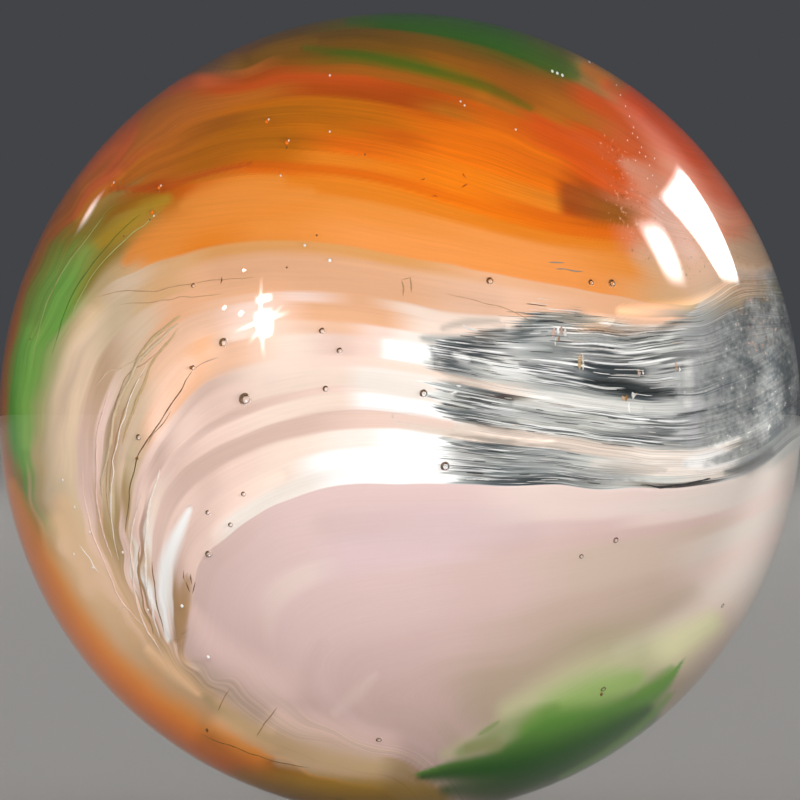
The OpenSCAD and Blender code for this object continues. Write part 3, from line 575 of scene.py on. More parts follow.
# Single threads and cracks in the glass: colour, half-width and (across, height) along each.
THREADS = [
    ("lime", 0.014, [(-7.36, 0.9), (-7.2, 1.7), (-6.86, 2.6), (-6.4, 3.3), (-5.9, 3.95)]),
    ("forest", 0.009, [(-6.95, 1.2), (-6.62, 2.2), (-6.2, 2.9), (-5.66, 3.55), (-5.2, 4.0)]),
    ("lime", 0.012, [(-6.72, 1.5), (-6.36, 2.4), (-5.92, 3.06), (-5.34, 3.6), (-4.8, 4.05)]),
    ("mustard", 0.016, [(-7.05, 2.2), (-6.66, 3.0), (-6.16, 3.7), (-5.7, 4.2)]),
    ("clay", 0.008, [(-6.1, 2.32), (-5.5, 2.46), (-4.9, 2.44), (-4.2, 2.6), (-3.6, 2.7), (-2.9, 2.74)]),
    ("clay", 0.007, [(-5.6, 2.2), (-4.9, 2.24), (-4.3, 2.34), (-3.5, 2.4)]),
    ("umber", 0.013, [(-4.14, 0.87), (-4.34, 0.52), (-4.59, 0.16), (-4.74, -0.07), (-4.94, -0.4),
     (-5.14, -0.67), (-5.24, -0.87), (-5.29, -1.12), (-5.37, -1.37), (-5.39, -1.62), (-5.44, -1.92),
     (-5.49, -2.36)]),
    ("umber", 0.008, [(-4.57, 0.06), (-4.71, -0.16), (-4.89, -0.36), (-5.05, -0.62)]),
    ("dusk", 0.01, [(-3.6, 1.15), (-3.89, 1.03), (-4.14, 0.87)]),
    ("pale sand", 0.045, [(-4.4, 1.82), (-4.75, 1.52), (-5.08, 1.2), (-5.28, 0.9), (-5.48, 0.5),
     (-5.66, 0.08), (-5.74, -0.34), (-5.83, -0.79), (-5.92, -1.24), (-5.94, -1.7)]),
    ("straw", 0.035, [(-4.36, 1.98), (-4.66, 1.74), (-4.95, 1.5), (-5.2, 1.15), (-5.36, 0.78)]),
    ("straw", 0.03, [(-4.42, 1.7), (-4.72, 1.34), (-4.98, 1.0), (-5.12, 0.6), (-5.28, 0.2), (-5.42, -0.2),
     (-5.55, -0.6)]),
    ("clay", 0.012, [(-4.81, 1.25), (-5.09, 1.03), (-5.29, 0.93), (-5.47, 0.73), (-5.59, 0.43),
     (-5.67, 0.14), (-5.75, -0.16), (-5.77, -0.46), (-5.81, -0.82), (-5.84, -1.12), (-5.87, -1.52),
     (-5.81, -1.92), (-5.71, -2.32)]),
    ("clay", 0.016, [(-5.15, 0.85), (-5.31, 0.57), (-5.43, 0.28), (-5.53, -0.02), (-5.63, -0.36),
     (-5.71, -0.72), (-5.79, -1.12), (-5.83, -1.72)]),
    ("ivory", 0.014, [(-5.04, 1.03), (-5.14, 0.83), (-5.29, 0.53), (-5.41, 0.28), (-5.49, 0.04),
     (-5.59, -0.32), (-5.64, -0.62), (-5.71, -0.92), (-5.74, -1.32), (-5.77, -1.62), (-5.77, -2.02),
     (-5.74, -2.26), (-5.67, -2.62), (-5.61, -2.92)]),
    ("buff", 0.02, [(-6.07, 0.55), (-5.84, 0.83), (-5.59, 0.89), (-5.34, 1.03), (-5.14, 1.23),
     (-4.79, 1.57), (-4.44, 1.83)]),
    ("rose", 0.028, [(-5.79, 0.47), (-5.91, 0.18), (-6.01, -0.22), (-6.05, -0.72), (-6.05, -1.32),
     (-6.01, -1.92), (-5.91, -2.42), (-5.75, -2.86)]),
    ("blush", 0.016, [(-6.34, -1.12), (-6.29, -1.62), (-6.19, -2.12), (-6.04, -2.62), (-5.89, -3.01),
     (-5.74, -3.36), (-5.54, -3.76), (-5.29, -4.01), (-5.04, -4.26)]),
    ("white", 0.012, [(-6.39, -2.6), (-6.19, -2.92), (-6.01, -3.21)]),
    ("cream", 0.022, [(-5.14, -1.62), (-5.24, -1.87), (-5.34, -2.22), (-5.37, -2.62), (-5.34, -3.11),
     (-5.29, -3.56), (-5.19, -3.96), (-5.04, -4.31), (-4.89, -4.51), (-4.73, -4.81)]),
    ("ivory", 0.03, [(-4.79, -1.12), (-4.94, -1.57), (-5.04, -2.12), (-5.07, -2.62), (-5.07, -3.11),
     (-5.01, -3.61), (-4.89, -4.11), (-4.79, -4.46)]),
    ("clay", 0.022, [(-5.19, -2.62), (-5.2, -3.11), (-5.15, -3.61), (-5.03, -4.07), (-4.91, -4.43)]),
    ("bronze", 0.012, [(-4.93, -2.92), (-4.91, -3.41), (-4.83, -3.91), (-4.73, -4.35)]),
    ("olive brown", 0.012, [(-3.99, -6.36), (-3.34, -6.64), (-2.8, -6.84), (-2.34, -6.96), (-1.8, -7.06)]),
    ("clay", 0.01, [(-3.4, -5.47), (-3.64, -5.91)]),
    ("clay", 0.01, [(-2.46, -5.85), (-2.76, -6.25), (-2.9, -6.46)]),
    ("cream", 0.01, [(-5.63, -3.92), (-5.48, -3.8)]),
    ("umber", 0.012, [(-4.2, -3.2), (-4.16, -3.4)]),
    ("umber", 0.014, [(-4.26, -3.34), (-4.2, -3.56)]),
    ("umber", 0.012, [(-4.08, -3.34), (-4.14, -3.58)]),
    ("umber", 0.01, [(-4.33, -3.12), (-4.3, -3.34)]),
    ("clay", 0.007, [(0.9, 2.42), (1.5, 2.27), (1.9, 2.16), (2.3, 2.04), (2.56, 1.88), (2.66, 1.72)]),
    ("ink", 0.022, [(4.78, -1.42), (5.28, -1.44), (5.78, -1.38), (6.28, -1.26)]),
    ("mahogany", 0.016, [(-3.56, 2.75), (-3.56, 2.59)]),
    ("clay", 0.016, [(0.03, 2.69), (0.05, 2.35)]),
    ("clay", 0.014, [(0.21, 2.73), (0.21, 2.43)]),
    ("clay", 0.012, [(0.05, 2.69), (0.21, 2.73)]),
    ("brick", 0.02, [(1.25, 4.82), (1.31, 4.7)]),
    ("brick", 0.02, [(1.21, 4.52), (1.35, 4.58)]),
    ("brick", 0.016, [(0.41, 4.68), (0.51, 4.7)]),
    ("brick", 0.016, [(0.65, 4.36), (0.77, 4.34)]),
    ("taupe", 0.014, [(2.97, 3.03), (3.3, 3.01)]),
    ("taupe", 0.014, [(3.1, 2.91), (3.66, 2.85)]),
    ("mauve", 0.04, [(3.08, 1.73), (3.06, 1.53)]),
    ("white", 0.022, [(3.16, 1.77), (3.14, 1.59)]),
    ("dusk", 0.03, [(3.22, 1.81), (3.22, 1.51)]),
    ("pearl", 0.03, [(3.3, 1.73), (3.3, 1.51)]),
    ("ivory", 0.02, [(3.12, 1.53), (3.12, 1.37)]),
    ("clay", 0.02, [(3.18, 1.55), (3.16, 1.45)]),
    ("straw", 0.035, [(3.58, 1.21), (3.58, 0.89)]),
    ("ivory", 0.018, [(3.64, 1.23), (3.64, 0.85)]),
    ("mauve", 0.035, [(4.76, 0.87), (4.78, 0.75)]),
    ("white", 0.025, [(4.84, 0.91), (4.86, 0.75)]),
    ("clay", 0.02, [(4.9, 0.85), (4.9, 0.75)]),
    ("tan", 0.05, [(4.44, 0.37), (4.46, 0.24)]),
    ("ochre", 0.035, [(4.52, 0.43), (4.52, 0.24)]),
    ("pearl", 0.045, [(4.64, 0.45), (4.64, 0.28)]),
    ("dusk", 0.03, [(4.7, 0.47), (4.7, 0.35)]),
    ("white", 0.022, [(4.58, 0.24), (4.6, 0.02)]),
    ("tan", 0.04, [(5.5, 1.03), (5.5, 0.85)]),
    ("white", 0.02, [(5.58, 0.97), (5.58, 0.83)]),
    ("white", 0.03, [(1.09, 0.61), (1.25, 0.55)]),
    ("white", 0.025, [(1.03, 0.43), (1.19, 0.47)]),
    ("pearl", 0.02, [(1.23, 1.77), (1.55, 1.65)]),
]

# Specks and small blisters: colour, size and the place of each.
FLECKS = [
    ("bronze", 0.035, [(-4.17, 0.93), (-5.25, -0.88), (-3.85, -6.31), (4.02, -5.59)]),
    ("white", 0.035, [(-4.35, -3.83), (-1.4, 3.07), (-3.83, -4.85)]),
    ("ivory", 0.03, [(-6.19, -2.36), (-6.13, -3.07), (-5.53, -2.76), (-5.03, -3.91), (-6.49, -1.86),
     (-6.51, -2.8), (-6.73, -1.32), (-1.9, 3.37)]),
    # Each orange blister has a cream speck beside it, a painted highlight, and three have a mahogany speck
    # just under them, painted shade.
    ("hot orange", 0.04, [(-5.75, 4.58), (-4.81, 4.52), (-2.66, 5.84), (-2.26, 5.42), (-4.95, 4.02)]),
    ("cream", 0.022, [(-5.71, 4.62), (-4.77, 4.56), (-4.91, 3.96), (-2.62, 5.88), (-2.22, 5.46),
     (-1.4, 6.76), (-1.4, 5.64), (1.21, 6.24), (1.29, 6.16), (2.31, 5.68), (-2.38, 4.76)]),
    ("mahogany", 0.02, [(-0.7, 5.18), (-2.26, 5.32), (-4.99, 3.88), (-4.83, 4.46), (-1.66, 3.57),
     (-2.26, 2.93), (-5.51, 3.55), (-7.38, 1.49)]),
    ("white", 0.03, [(3.78, 7.03), (3.04, 6.84), (3.14, 6.8), (3.24, 6.76), (3.86, 7.05)]),
    ("blush", 0.016, [(4.32, 6.56), (4.4, 6.36), (4.5, 6.14), (4.58, 5.94), (4.66, 5.72), (4.74, 5.52),
     (4.82, 5.32), (4.9, 5.14), (4.98, 4.96), (5.04, 4.76), (5.12, 4.54), (5.18, 4.3), (5.24, 4.02),
     (5.28, 3.7), (4.78, 5.22), (4.7, 5.06), (5.08, 5.1), (4.94, 4.7), (4.54, 5.46), (4.64, 5.6)]),
]

# ---------------------------------------------------------------- fields over the front


def smooth(edge_low, edge_high, value):
    """0 below the first edge, 1 above the second, and an even curve between them."""
    share = np.clip((value - edge_low) / (edge_high - edge_low), 0, 1)
    return share * share * (3 - 2 * share)


def along_stops(stops, place):
    """The colour of {place: colour} stops at each place."""
    places = sorted(stops)
    result = np.tile(linear(stops[places[0]]), (len(place), 1))
    for start, end in zip(places, places[1:]):
        result += (linear(stops[end]) - result) * smooth(start, end, place)[:, None]
    return result


def beside(line, gaps):
    """The points of a line moved square to it, each by its own distance."""
    line = np.array(line)
    ends = np.concatenate([line[:1], line, line[-1:]])
    run = ends[:-2] - ends[2:]
    square = np.stack([-run[:, 1], run[:, 0]], 1) / np.linalg.norm(run, axis=1)[:, None]
    return line + square * gaps[:, None]


def whole_lines():
    """FLOW_LINES with their pinched stretches, which come before a line's first point left of the pinch."""
    lines = dict(FLOW_LINES)
    for level, (gap, count) in PINCH_GAPS.items():
        stretch = beside(PINCH_LINE, gap * PINCH_CLOSENESS).round(2)[:count].tolist()
        split = next(i for i, point in enumerate(lines[level]) if point[0] < PINCH_LINE[0][0])
        lines[level] = [*lines[level][:split], *stretch, *lines[level][split:]]
    return lines


class Flow:
    """A smooth field through lines of flow: how far along its stream a point lies, and how high over the
    opal's seam.

    A line's length is counted from where it crosses the upright axis over the fold. Lines in the heart of
    the opal cross it once; the others cross it again at the foot. The field keeps to its lines within an
    evenness, which is least where they are pinched together at the lower left. Slack loosens it all over."""

    HEART = -4
    FOOT = -5.2
    EVENNESS = 0.04
    PINCH_EVENNESS = 0.005
    ROUNDING = 0.3
    BATCH = 16000

    def __init__(self, lines, slack=0.0):
        knots, values = [], []
        for level, points in lines.items():
            points = np.array(points, float)
            steps = np.linalg.norm(np.diff(points, axis=0), axis=1)
            run = np.concatenate([[0], np.cumsum(steps)])
            counted = (points[:, 1] > self.FOOT) | (level < self.HEART)
            middle = np.argmin(np.where(counted, abs(points[:, 0]), np.inf))
            knots.append(points)
            values.append(np.stack([run - run[middle], np.full(len(points), level)], 1))
        self.knots = np.concatenate(knots)
        count = len(self.knots)
        plane = np.c_[np.ones(count), self.knots]
        loose = smooth(-6.4, -5.6, self.knots[:, 0]) * smooth(-3, -1.5, self.knots[:, 1])
        evenness = self.PINCH_EVENNESS + (self.EVENNESS - self.PINCH_EVENNESS) * loose + slack
        system = np.zeros((count + 3, count + 3))
        system[:count, :count] = self.bend(self.knots) + np.diag(evenness)
        system[:count, count:] = plane
        system[count:, :count] = plane.T
        self.weights = np.linalg.solve(system, np.r_[np.concatenate(values), np.zeros((3, 2))])

    def bend(self, points):
        squared = ((points[:, None, :] - self.knots[None, :, :]) ** 2).sum(2)
        return -np.sqrt(squared + self.ROUNDING**2)

    def at(self, points):
        """Columns: millimetres along the stream from the upright axis, and height over the opal's seam."""
        parts = []
        for start in range(0, len(points), self.BATCH):
            batch = points[start : start + self.BATCH]
            flat = np.c_[np.ones(len(batch)), batch]
            parts.append(self.bend(batch) @ self.weights[:-3] + flat @ self.weights[-3:])
        return np.concatenate(parts)


def layered(streams, along, over):
    """The colour of a stack of streams at each point."""
    colour = along_stops(streams[0][0], along)
    for (_, _, seam, blend), (stops, *_) in zip(streams, streams[1:]):
        share = smooth(seam - blend / 2, seam + blend / 2, over)
        colour += (along_stops(stops, along) - colour) * share[:, None]
    return colour


def dense(path, pitch):
    """Points along a smooth curve through a path's own, about a pitch apart."""
    points = np.array(path, float)
    ends = np.concatenate([[2 * points[0] - points[1]], points, [2 * points[-1] - points[-2]]])
    parts = []
    for a, b, c, d in zip(ends, ends[1:], ends[2:], ends[3:]):
        count = max(2, round(np.linalg.norm(c - b) / pitch))
        t = np.arange(count)[:, None] / count
        slope, bend, twist = c - a, 2 * a - 5 * b + 4 * c - d, 3 * b - a - 3 * c + d
        parts.append((2 * b + slope * t + bend * t**2 + twist * t**3) / 2)
    return np.concatenate([*parts, points[-1:]])


def stroke(points, path):
    """Distance of each point from a path, as a share of the path's own reach there."""
    nearest = np.full(len(points), np.inf)
    path = dense(path, STROKE_PITCH)
    path[:, 2] = np.maximum(path[:, 2], LEAST_REACH)
    for (x0, z0, r0), (x1, z1, r1) in zip(path, path[1:]):
        start, step = np.array([x0, z0]), np.array([x1 - x0, z1 - z0])
        share = np.clip((points - start) @ step / (step @ step), 0, 1)
        gap = np.linalg.norm(points - start - share[:, None] * step, axis=1)
        nearest = np.minimum(nearest, gap / (r0 + (r1 - r0) * share))
    return nearest


def washed(points):
    """The colour of the washes at each point, and how much of what lies under them they hide."""
    tint, cover = np.zeros((len(points), 3)), np.zeros(len(points))
    rim_softness = 0.9 * smooth(6.9, 7.8, np.linalg.norm(points, axis=1))
    for name, strength, softness, path in WASHES:
        blur = np.maximum(softness, rim_softness)
        share = strength * (1 - smooth(1 - blur, 1 + blur, stroke(points, path)))
        cover, before = share + cover * (1 - share), cover * (1 - share)
        mixed = linear(name) * share[:, None] + tint * before[:, None]
        tint = mixed / np.maximum(cover, 1e-6)[:, None]
    return tint, cover


def in_front(behind, reach):
    """1 in front of the rim, and 0 from this share of the back on."""
    return 1 - smooth(0.0, reach, behind)


def ripple(along, over, waves, finest, seed):
    """A brushed pattern from -1 to 1: fine across the flow, and slowly wandering along it."""
    draw = np.random.default_rng(seed)
    total = np.zeros(len(along))
    for i in range(waves):
        pitch = finest * draw.uniform(0.25, 1)
        bend = draw.uniform(0.3, 1.6) * np.sin(along * draw.uniform(0.2, 1.1) + draw.uniform(0, 6.3))
        total += np.sin(over * pitch + bend + draw.uniform(0, 6.3))
    return total / math.sqrt(waves)


# ---------------------------------------------------------------- from the core to what the eye sees


def skin_angles(turn, share):
    """For points of the core, by their own angle from the front and their share of the ball's radius: the
    angle at which each is seen on the skin, and how far the light there leans from straight on."""
    seen = turn.copy()
    for _ in range(SKIN_ROUNDS):
        lean = seen + np.arctan2(BALL_R * np.sin(seen), EYE - BALL_R * np.cos(seen))
        bent = np.sin(np.minimum(lean, math.pi / 2)) / GLASS_IOR
        seen = turn - (np.arcsin(np.minimum(bent / share, 0.9999)) - np.arcsin(bent))
    return seen, lean


def front_place(points, share):
    """Where each point of the core is seen from the front, in millimetres, and how far behind the rim it
    lies, from 0 to 1. Behind, the pattern turns slowly about the axis, so it closes on itself."""
    radius = np.linalg.norm(points, axis=1)
    turn = np.arccos(np.clip(-points[:, 1] / radius, -1, 1))
    seen, lean = skin_angles(turn, share)
    behind = np.clip((lean - math.pi / 2) / (math.pi / 2), 0, 1)
    front = BALL_R * np.sin(seen) * EYE / (EYE - BALL_R * np.cos(seen))
    reach = np.where(behind > 0, RIM_R * np.cos(math.pi / 2 * behind), np.minimum(front, RIM_R))
    side = np.arctan2(points[:, 2], points[:, 0]) + BACK_TWIST * smooth(0, 1, behind)
    return np.stack([reach * np.cos(side), reach * np.sin(side)], 1), behind


def read(table, place):
    """A value between the points of a table, by straight lines."""
    return np.interp(place, [p for p, _ in table], [value for _, value in table])


def under(places, share):
    """Points at a share of the ball's radius that are seen from the front at the given places."""
    reach = np.minimum(np.linalg.norm(places, axis=1), RIM_R * 0.999)
    seen = np.arcsin(np.minimum(reach / BALL_R, 0.999))
    for _ in range(UNDER_ROUNDS):
        seen = np.arcsin(np.minimum(reach * (EYE - BALL_R * np.cos(seen)) / (BALL_R * EYE), 1))
    lean = seen + np.arctan2(BALL_R * np.sin(seen), EYE - BALL_R * np.cos(seen))
    bent = np.sin(lean) / GLASS_IOR
    turn = seen + np.arcsin(bent / share) - np.arcsin(bent)
    side = np.arctan2(places[:, 1], places[:, 0])
    ways = np.stack([np.sin(turn) * np.cos(side), -np.cos(turn), np.sin(turn) * np.sin(side)], 1)
    return ways * (share * BALL_R)[:, None]


# ---------------------------------------------------------------- meshes


def cube_ball(cells):
    """Directions and quads of a closed ball of six square patches with nearly even cells."""
    first, second = np.meshgrid(np.arange(cells + 1), np.arange(cells + 1), indexing="ij")
    lattice, quads = [], []
    for axis in range(3):
        for side in (0, cells):
            grid = np.empty((cells + 1, cells + 1, 3), int)
            grid[..., axis] = side
            grid[..., (axis + 1) % 3] = first
            grid[..., (axis + 2) % 3] = second
            index = np.arange(first.size).reshape(first.shape) + first.size * len(lattice)
            corners = [index[:-1, :-1], index[1:, :-1], index[1:, 1:], index[:-1, 1:]]
            quads.append(np.stack(corners if side else corners[::-1], -1).reshape(-1, 4))
            lattice.append(grid.reshape(-1, 3))
    points, place = np.unique(np.concatenate(lattice), axis=0, return_inverse=True)
    points = np.tan(math.pi / 4 * (2 * points / cells - 1))
    return points / np.linalg.norm(points, axis=1, keepdims=True), place.ravel()[np.concatenate(quads)]


def toward_front(directions, share):
    """Draws the cells of a ball together at the front, where the pattern is finest."""
    turn = np.arccos(np.clip(-directions[:, 1], -1, 1))
    closer = turn - share * np.sin(turn)
    wide = np.hypot(directions[:, 0], directions[:, 2])
    scale = np.sin(closer) / np.maximum(wide, 1e-9)
    return np.stack([directions[:, 0] * scale, -np.cos(closer), directions[:, 2] * scale], 1)


def make_mesh(name, points, faces, material):
    """A smooth object at the origin from points in millimetres."""
    mesh = bpy.data.meshes.new(name)
    mesh.from_pydata((points * MM).tolist(), [], faces.tolist())
    mesh.shade_smooth()
    mesh.materials.append(material)
    piece = bpy.data.objects.new(name, mesh)
    bpy.context.scene.collection.objects.link(piece)
    return piece


def store(piece, name, values):
    """Keeps one or three numbers at each vertex for the piece's material."""
    kind, field = ("FLOAT", "value") if values.shape[1] == 1 else ("FLOAT_VECTOR", "vector")
    piece.data.attributes.new(name, kind, "POINT").data.foreach_set(field, values.astype(np.float32).ravel())


# ---------------------------------------------------------------- materials


class Wire:
    """A socket that takes part in ordinary arithmetic."""

    def __init__(self, net, socket):
        self.net, self.socket = net, socket

    def __add__(self, other):
        return self.net.math("ADD", self, other)

    def __sub__(self, other):
        return self.net.math("SUBTRACT", self, other)

    def __rsub__(self, other):
        return self.net.math("SUBTRACT", other, self)

    def __mul__(self, other):
        return self.net.math("MULTIPLY", self, other)

    def __truediv__(self, other):
        return self.net.math("DIVIDE", self, other)

    def __rtruediv__(self, other):
        return self.net.math("DIVIDE", other, self)

    __radd__ = __add__
    __rmul__ = __mul__


class Net:
    """A material's nodes, each added by one call."""

    def __init__(self, name, tree=None):
        self.material = None if tree else bpy.data.materials.new(name)
        if self.material:
            self.material.use_nodes = True
        self.tree = tree or self.material.node_tree
        self.tree.nodes.clear()

    def add(self, kind, settings=None, sockets=None, out=0):
        """Adds a node. A ramp takes its stops as {place: colour} among the settings."""
        node = self.tree.nodes.new("ShaderNode" + kind)
        for name, value in (settings or {}).items():
            if name == "stops":
                self.set_stops(node.color_ramp, value)
            else:
                setattr(node, name, value)
        for name, value in (sockets or {}).items():
            if isinstance(value, Wire):
                self.tree.links.new(value.socket, node.inputs[name])
            else:
                node.inputs[name].default_value = value
        return Wire(self, node.outputs[out])

    def set_stops(self, ramp, stops):
        ramp.interpolation = "EASE"
        places = sorted(stops)
        ramp.elements[0].position, ramp.elements[-1].position = places[0], places[-1]
        for place in places[1:-1]:
            ramp.elements.new(place)
        for element, place in zip(ramp.elements, places):
            element.color = (*stops[place], 1)

    def math(self, operation, a, b):
        return self.add("Math", {"operation": operation}, {0: a, 1: b})

    def attribute(self, name, out="Vector"):
        return self.add("Attribute", {"attribute_name": name}, out=out)

    def part(self, vector, axis):
        return self.add("SeparateXYZ", sockets={0: vector}, out=axis)

    def rise(self, value, low, high):
        """0 below low, 1 above high, and an even curve between."""
        settings = {"interpolation_type": "SMOOTHSTEP"}
        return self.add("MapRange", settings, {"Value": value, "From Min": low, "From Max": high})

    def mix(self, share, a, b):
        return self.add("Mix", {"data_type": "RGBA"}, {0: share, 6: a, 7: b}, out=2)

    def grain(self, vector, scale, seed, detail=2.0):
        """Noise from about -0.5 to 0.5, finer along each axis by its scale."""
        placed = self.add("Mapping", sockets={0: vector, 1: (seed, seed, seed), 3: scale})
        noise = self.add("TexNoise", sockets={"Vector": placed, "Scale": 1.0, "Detail": detail})
        return noise - 0.5

    def along(self, stops, place):
        """A ramp of the palette's colours along the flow."""
        stops = {(at - FLOW_START) / FLOW_SPAN: linear(name) for at, name in stops.items()}
        return self.add("ValToRGB", {"stops": stops}, {0: place})

    def stack(self, streams, place, over):
        """The colour of a stack of streams."""
        colour = self.along(streams[0][0], place)
        for (_, _, seam, blend), (stops, *_) in zip(streams, streams[1:]):
            share = self.rise(over, seam - blend / 2, seam + blend / 2)
            colour = self.mix(share, colour, self.along(stops, place))
        return colour

    def streakiness(self, streams, over, low, high):
        """How streaky a stack of streams is at each height."""
        stops, below = {}, low
        for _, streak, seam, _ in streams:
            middle = (below + min(seam, high)) / 2
            stops[(middle - low) / (high - low)] = (streak,) * 3
            below = seam
        return self.add("ValToRGB", {"stops": stops}, {0: (over - low) * (1 / (high - low))})

    def dot(self, vector, way):
        return self.add("VectorMath", {"operation": "DOT_PRODUCT"}, {0: vector, 1: way}, out="Value")

    def opening(self, way, first, last, widths, soft):
        """How far a direction looks through a four-sided opening with soft edges."""
        middle = (first + last).normalized()
        length = (last - first).length / 2
        side = middle.cross(last - first).normalized()
        run = self.dot(way, (last - first).normalized()) * (1 / length)
        width = (widths[0] + widths[1]) / 2 + run * ((widths[1] - widths[0]) / 2)
        off = self.math("ABSOLUTE", self.dot(way, side) / width, 0.0)
        inside = self.rise(1 - off, 0, soft) * self.rise(1 - self.math("ABSOLUTE", run, 0.0), 0, soft)
        return inside * self.rise(self.dot(way, middle), 0.5, 0.6)

    def finish(self, shader):
        kind = "ShaderNodeOutputMaterial" if self.material else "ShaderNodeOutputWorld"
        self.tree.links.new(shader.socket, self.tree.nodes.new(kind).inputs["Surface"])
        return self.material


def window_streaks(net, flow, along, over):
    """The dark and the pale lines in the window, and how busy they are at each place: the painted dark edges
    and painted glints of its striae.
    """
    crowd = net.grain(flow, (0.5, 6, 2), 53, 1.0)
    lines = net.grain(flow, (0.8, 27, 2), 61, 2.0)
    busy = net.part(net.streakiness(PANE_STREAMS, over, 0, RIBBONS_TOP), "X")
    busy = busy * (1 - net.rise(along, 3.2, 4.6) * (1 - net.rise(over, 0.95, 1.15)) * 0.85)
    busy = busy * (1 - net.rise(along, 4.8, 6.4) * 0.5)
    dark = net.rise(lines + crowd * 0.5, 0.055, 0.145)
    pale = net.rise(crowd * 0.4 - lines, 0.05, 0.16)
    return dark, pale, busy


def frosting(net, frost, cloud):
    """The frosted glass at the window's far end."""
    frosted = net.mix(net.rise(cloud + frost * 0.5, -0.2, 0.22), paint("lead"), paint("ash"))
    return net.mix(net.rise(frost, 0.15, 0.22), frosted, paint("pearl"))


def swirl_glass():
    """The folded colours, with threads drawn out along the flow."""
    net = Net("Folded coloured glass")
    flow = net.attribute("flow")
    along, over = net.part(flow, "X"), net.part(flow, "Y")
    broad = net.grain(flow, (0.3, 5, 2), 3)
    fine = net.grain(flow, (0.45, 21, 2), 17, 3.0)
    hair = net.grain(flow, (0.7, 70, 2), 31, 1.0)
    place = (along - FLOW_START) * (1 / FLOW_SPAN)
    calm = 1 - net.rise(net.part(flow, "Z"), 0.1, 0.8)
    drawn = over + (broad * 0.12 + fine * 0.08 + hair * 0.03) * calm

    # The opal, and the ribbons over its seam.
    fan = net.stack(FAN_STREAMS, place, drawn)
    crisp = over + (fine * 0.04 + hair * 0.03) * calm
    blurred = 0.02 + net.rise(0 - along, 5.0, 6.6) * 0.4
    colour = net.mix(net.rise(crisp / blurred, -1.0, 1.0), net.attribute("opal tint"), fan)
    fan_streaks = net.streakiness(FAN_STREAMS, over, 0, RIBBONS_TOP)
    streaky = net.mix(net.rise(over, -0.1, 0.1), (0.08, 0.08, 0.08, 1), fan_streaks)

    # The clear window, with its ragged left end and upper edge.
    pane = net.attribute("pane")
    side, rise = net.part(pane, "X"), net.part(pane, "Y")
    ragged = side + broad * 0.9 + fine * 0.9 + hair * 0.5
    open_side = net.rise(ragged / (1 + net.part(flow, "Z") * 4), -0.04, 0.08)
    open_top = net.rise(rise + broad * 0.5 + fine * 0.5 + hair * 0.2, -0.05, 0.08)
    window = open_side * open_top * net.rise(crisp, -0.02, 0.02)
    torn = place + (broad * 0.6 + fine * 1.4 + hair * 0.7) * (1 / FLOW_SPAN)
    # What shows through the window is painted: greys for the dark seen into the clear glass, whites for its
    # glints.
    through = net.stack(PANE_STREAMS, torn, drawn + fine * 0.12)
    dark, pale, busy = window_streaks(net, flow, along, over)
    colour = net.mix(window, colour, through)

    # The orange and amber over the ribbons, and the green and the orange rim at the left.
    softness = 0.6 - net.rise(along, -9.0, -6.0) * 0.56
    seam = net.rise((over + (fine * 0.1 + hair * 0.05) * calm - RIBBONS_TOP) / softness, -0.5, 1.0)
    colour = net.mix(seam, colour, net.attribute("outer tint"))
    streaky = net.mix(seam, streaky, net.streakiness(OUTER_STREAMS, over, RIBBONS_TOP, AMBER_TOP))
    streaky = net.mix(window, streaky, (1.0, 1.0, 1.0, 1))

    # Washes, then the window's own lines over them: painted dark edges and painted glints of its striae.
    colour = net.mix(net.attribute("wash cover", "Fac"), colour, net.attribute("wash tint"))
    busy = busy * window * (1 - seam)
    colour = net.mix(dark * busy * 0.85, colour, paint("graphite"))
    colour = net.mix(pale * busy * 0.8, colour, paint("white"))

    # The frosted end of the window, and the scuffs: the pink grains on them are painted haze of the light
    # that they catch, and umber grains darken them.
    object_place = net.add("TexCoord", out="Object")
    frost = net.grain(object_place, (12000, 5000, 11000), 7, 5.0)
    cloud = net.grain(object_place, (2600, 1000, 2600), 9, 4.0)
    frosted = frosting(net, frost, cloud)
    worn = net.rise(side + fine * 0.8 + cloud * 2.5, 4.9, 5.9) * net.rise(rise + frost * 1.5, -0.7, 0.1)
    worn = worn * net.rise(over + fine * 0.4, 0.7, 0.9)
    colour = net.mix(worn * 0.85, colour, frosted)
    scuffs = net.attribute("scuffs", "Fac")
    colour = net.mix(net.rise(frost + scuffs * 0.22, 0.3, 0.4) * 0.6, colour, paint("pink salmon"))
    colour = net.mix(net.rise(scuffs * 0.22 - frost, 0.32, 0.42) * 0.45, colour, paint("umber"))

    # Lighter and darker threads, then the painted light and shade over the streams.
    left_streaks = net.rise(0 - along, 5.5, 7.5) * (1 - net.rise(0 - along, 8.8, 10.2))
    streaky = net.part(streaky, "X") * (1 - net.rise(0 - along, 8.6, 9.8) * 0.9)
    light = 1 + streaky * (fine * 0.9 + hair * 0.7) + broad * left_streaks * 0.7
    light = light * net.attribute("lightness", "Fac")
    colour = net.add("VectorMath", {"operation": "SCALE"}, {0: colour, "Scale": light})
    shape = {"Base Color": colour, "Roughness": 0.45, "Specular IOR Level": 0.2}
    return net.finish(net.add("BsdfPrincipled", sockets=shape))


def clear_glass():
    """The clear skin. Light passes it freely on its way to the colours."""
    net = Net("Clear glass")
    glass = {"Base Color": (1, 1, 1, 1), "Roughness": 0.0, "IOR": GLASS_IOR, "Transmission Weight": 1.0}
    surface = net.add("BsdfPrincipled", sockets=glass)
    free = net.add("BsdfTransparent")
    shadow = net.add("LightPath", out="Is Shadow Ray")
    diffuse = net.add("LightPath", out="Is Diffuse Ray")
    surface = net.add("MixShader", sockets={0: shadow, 1: surface, 2: free})
    return net.finish(net.add("MixShader", sockets={0: diffuse, 1: surface, 2: free}))


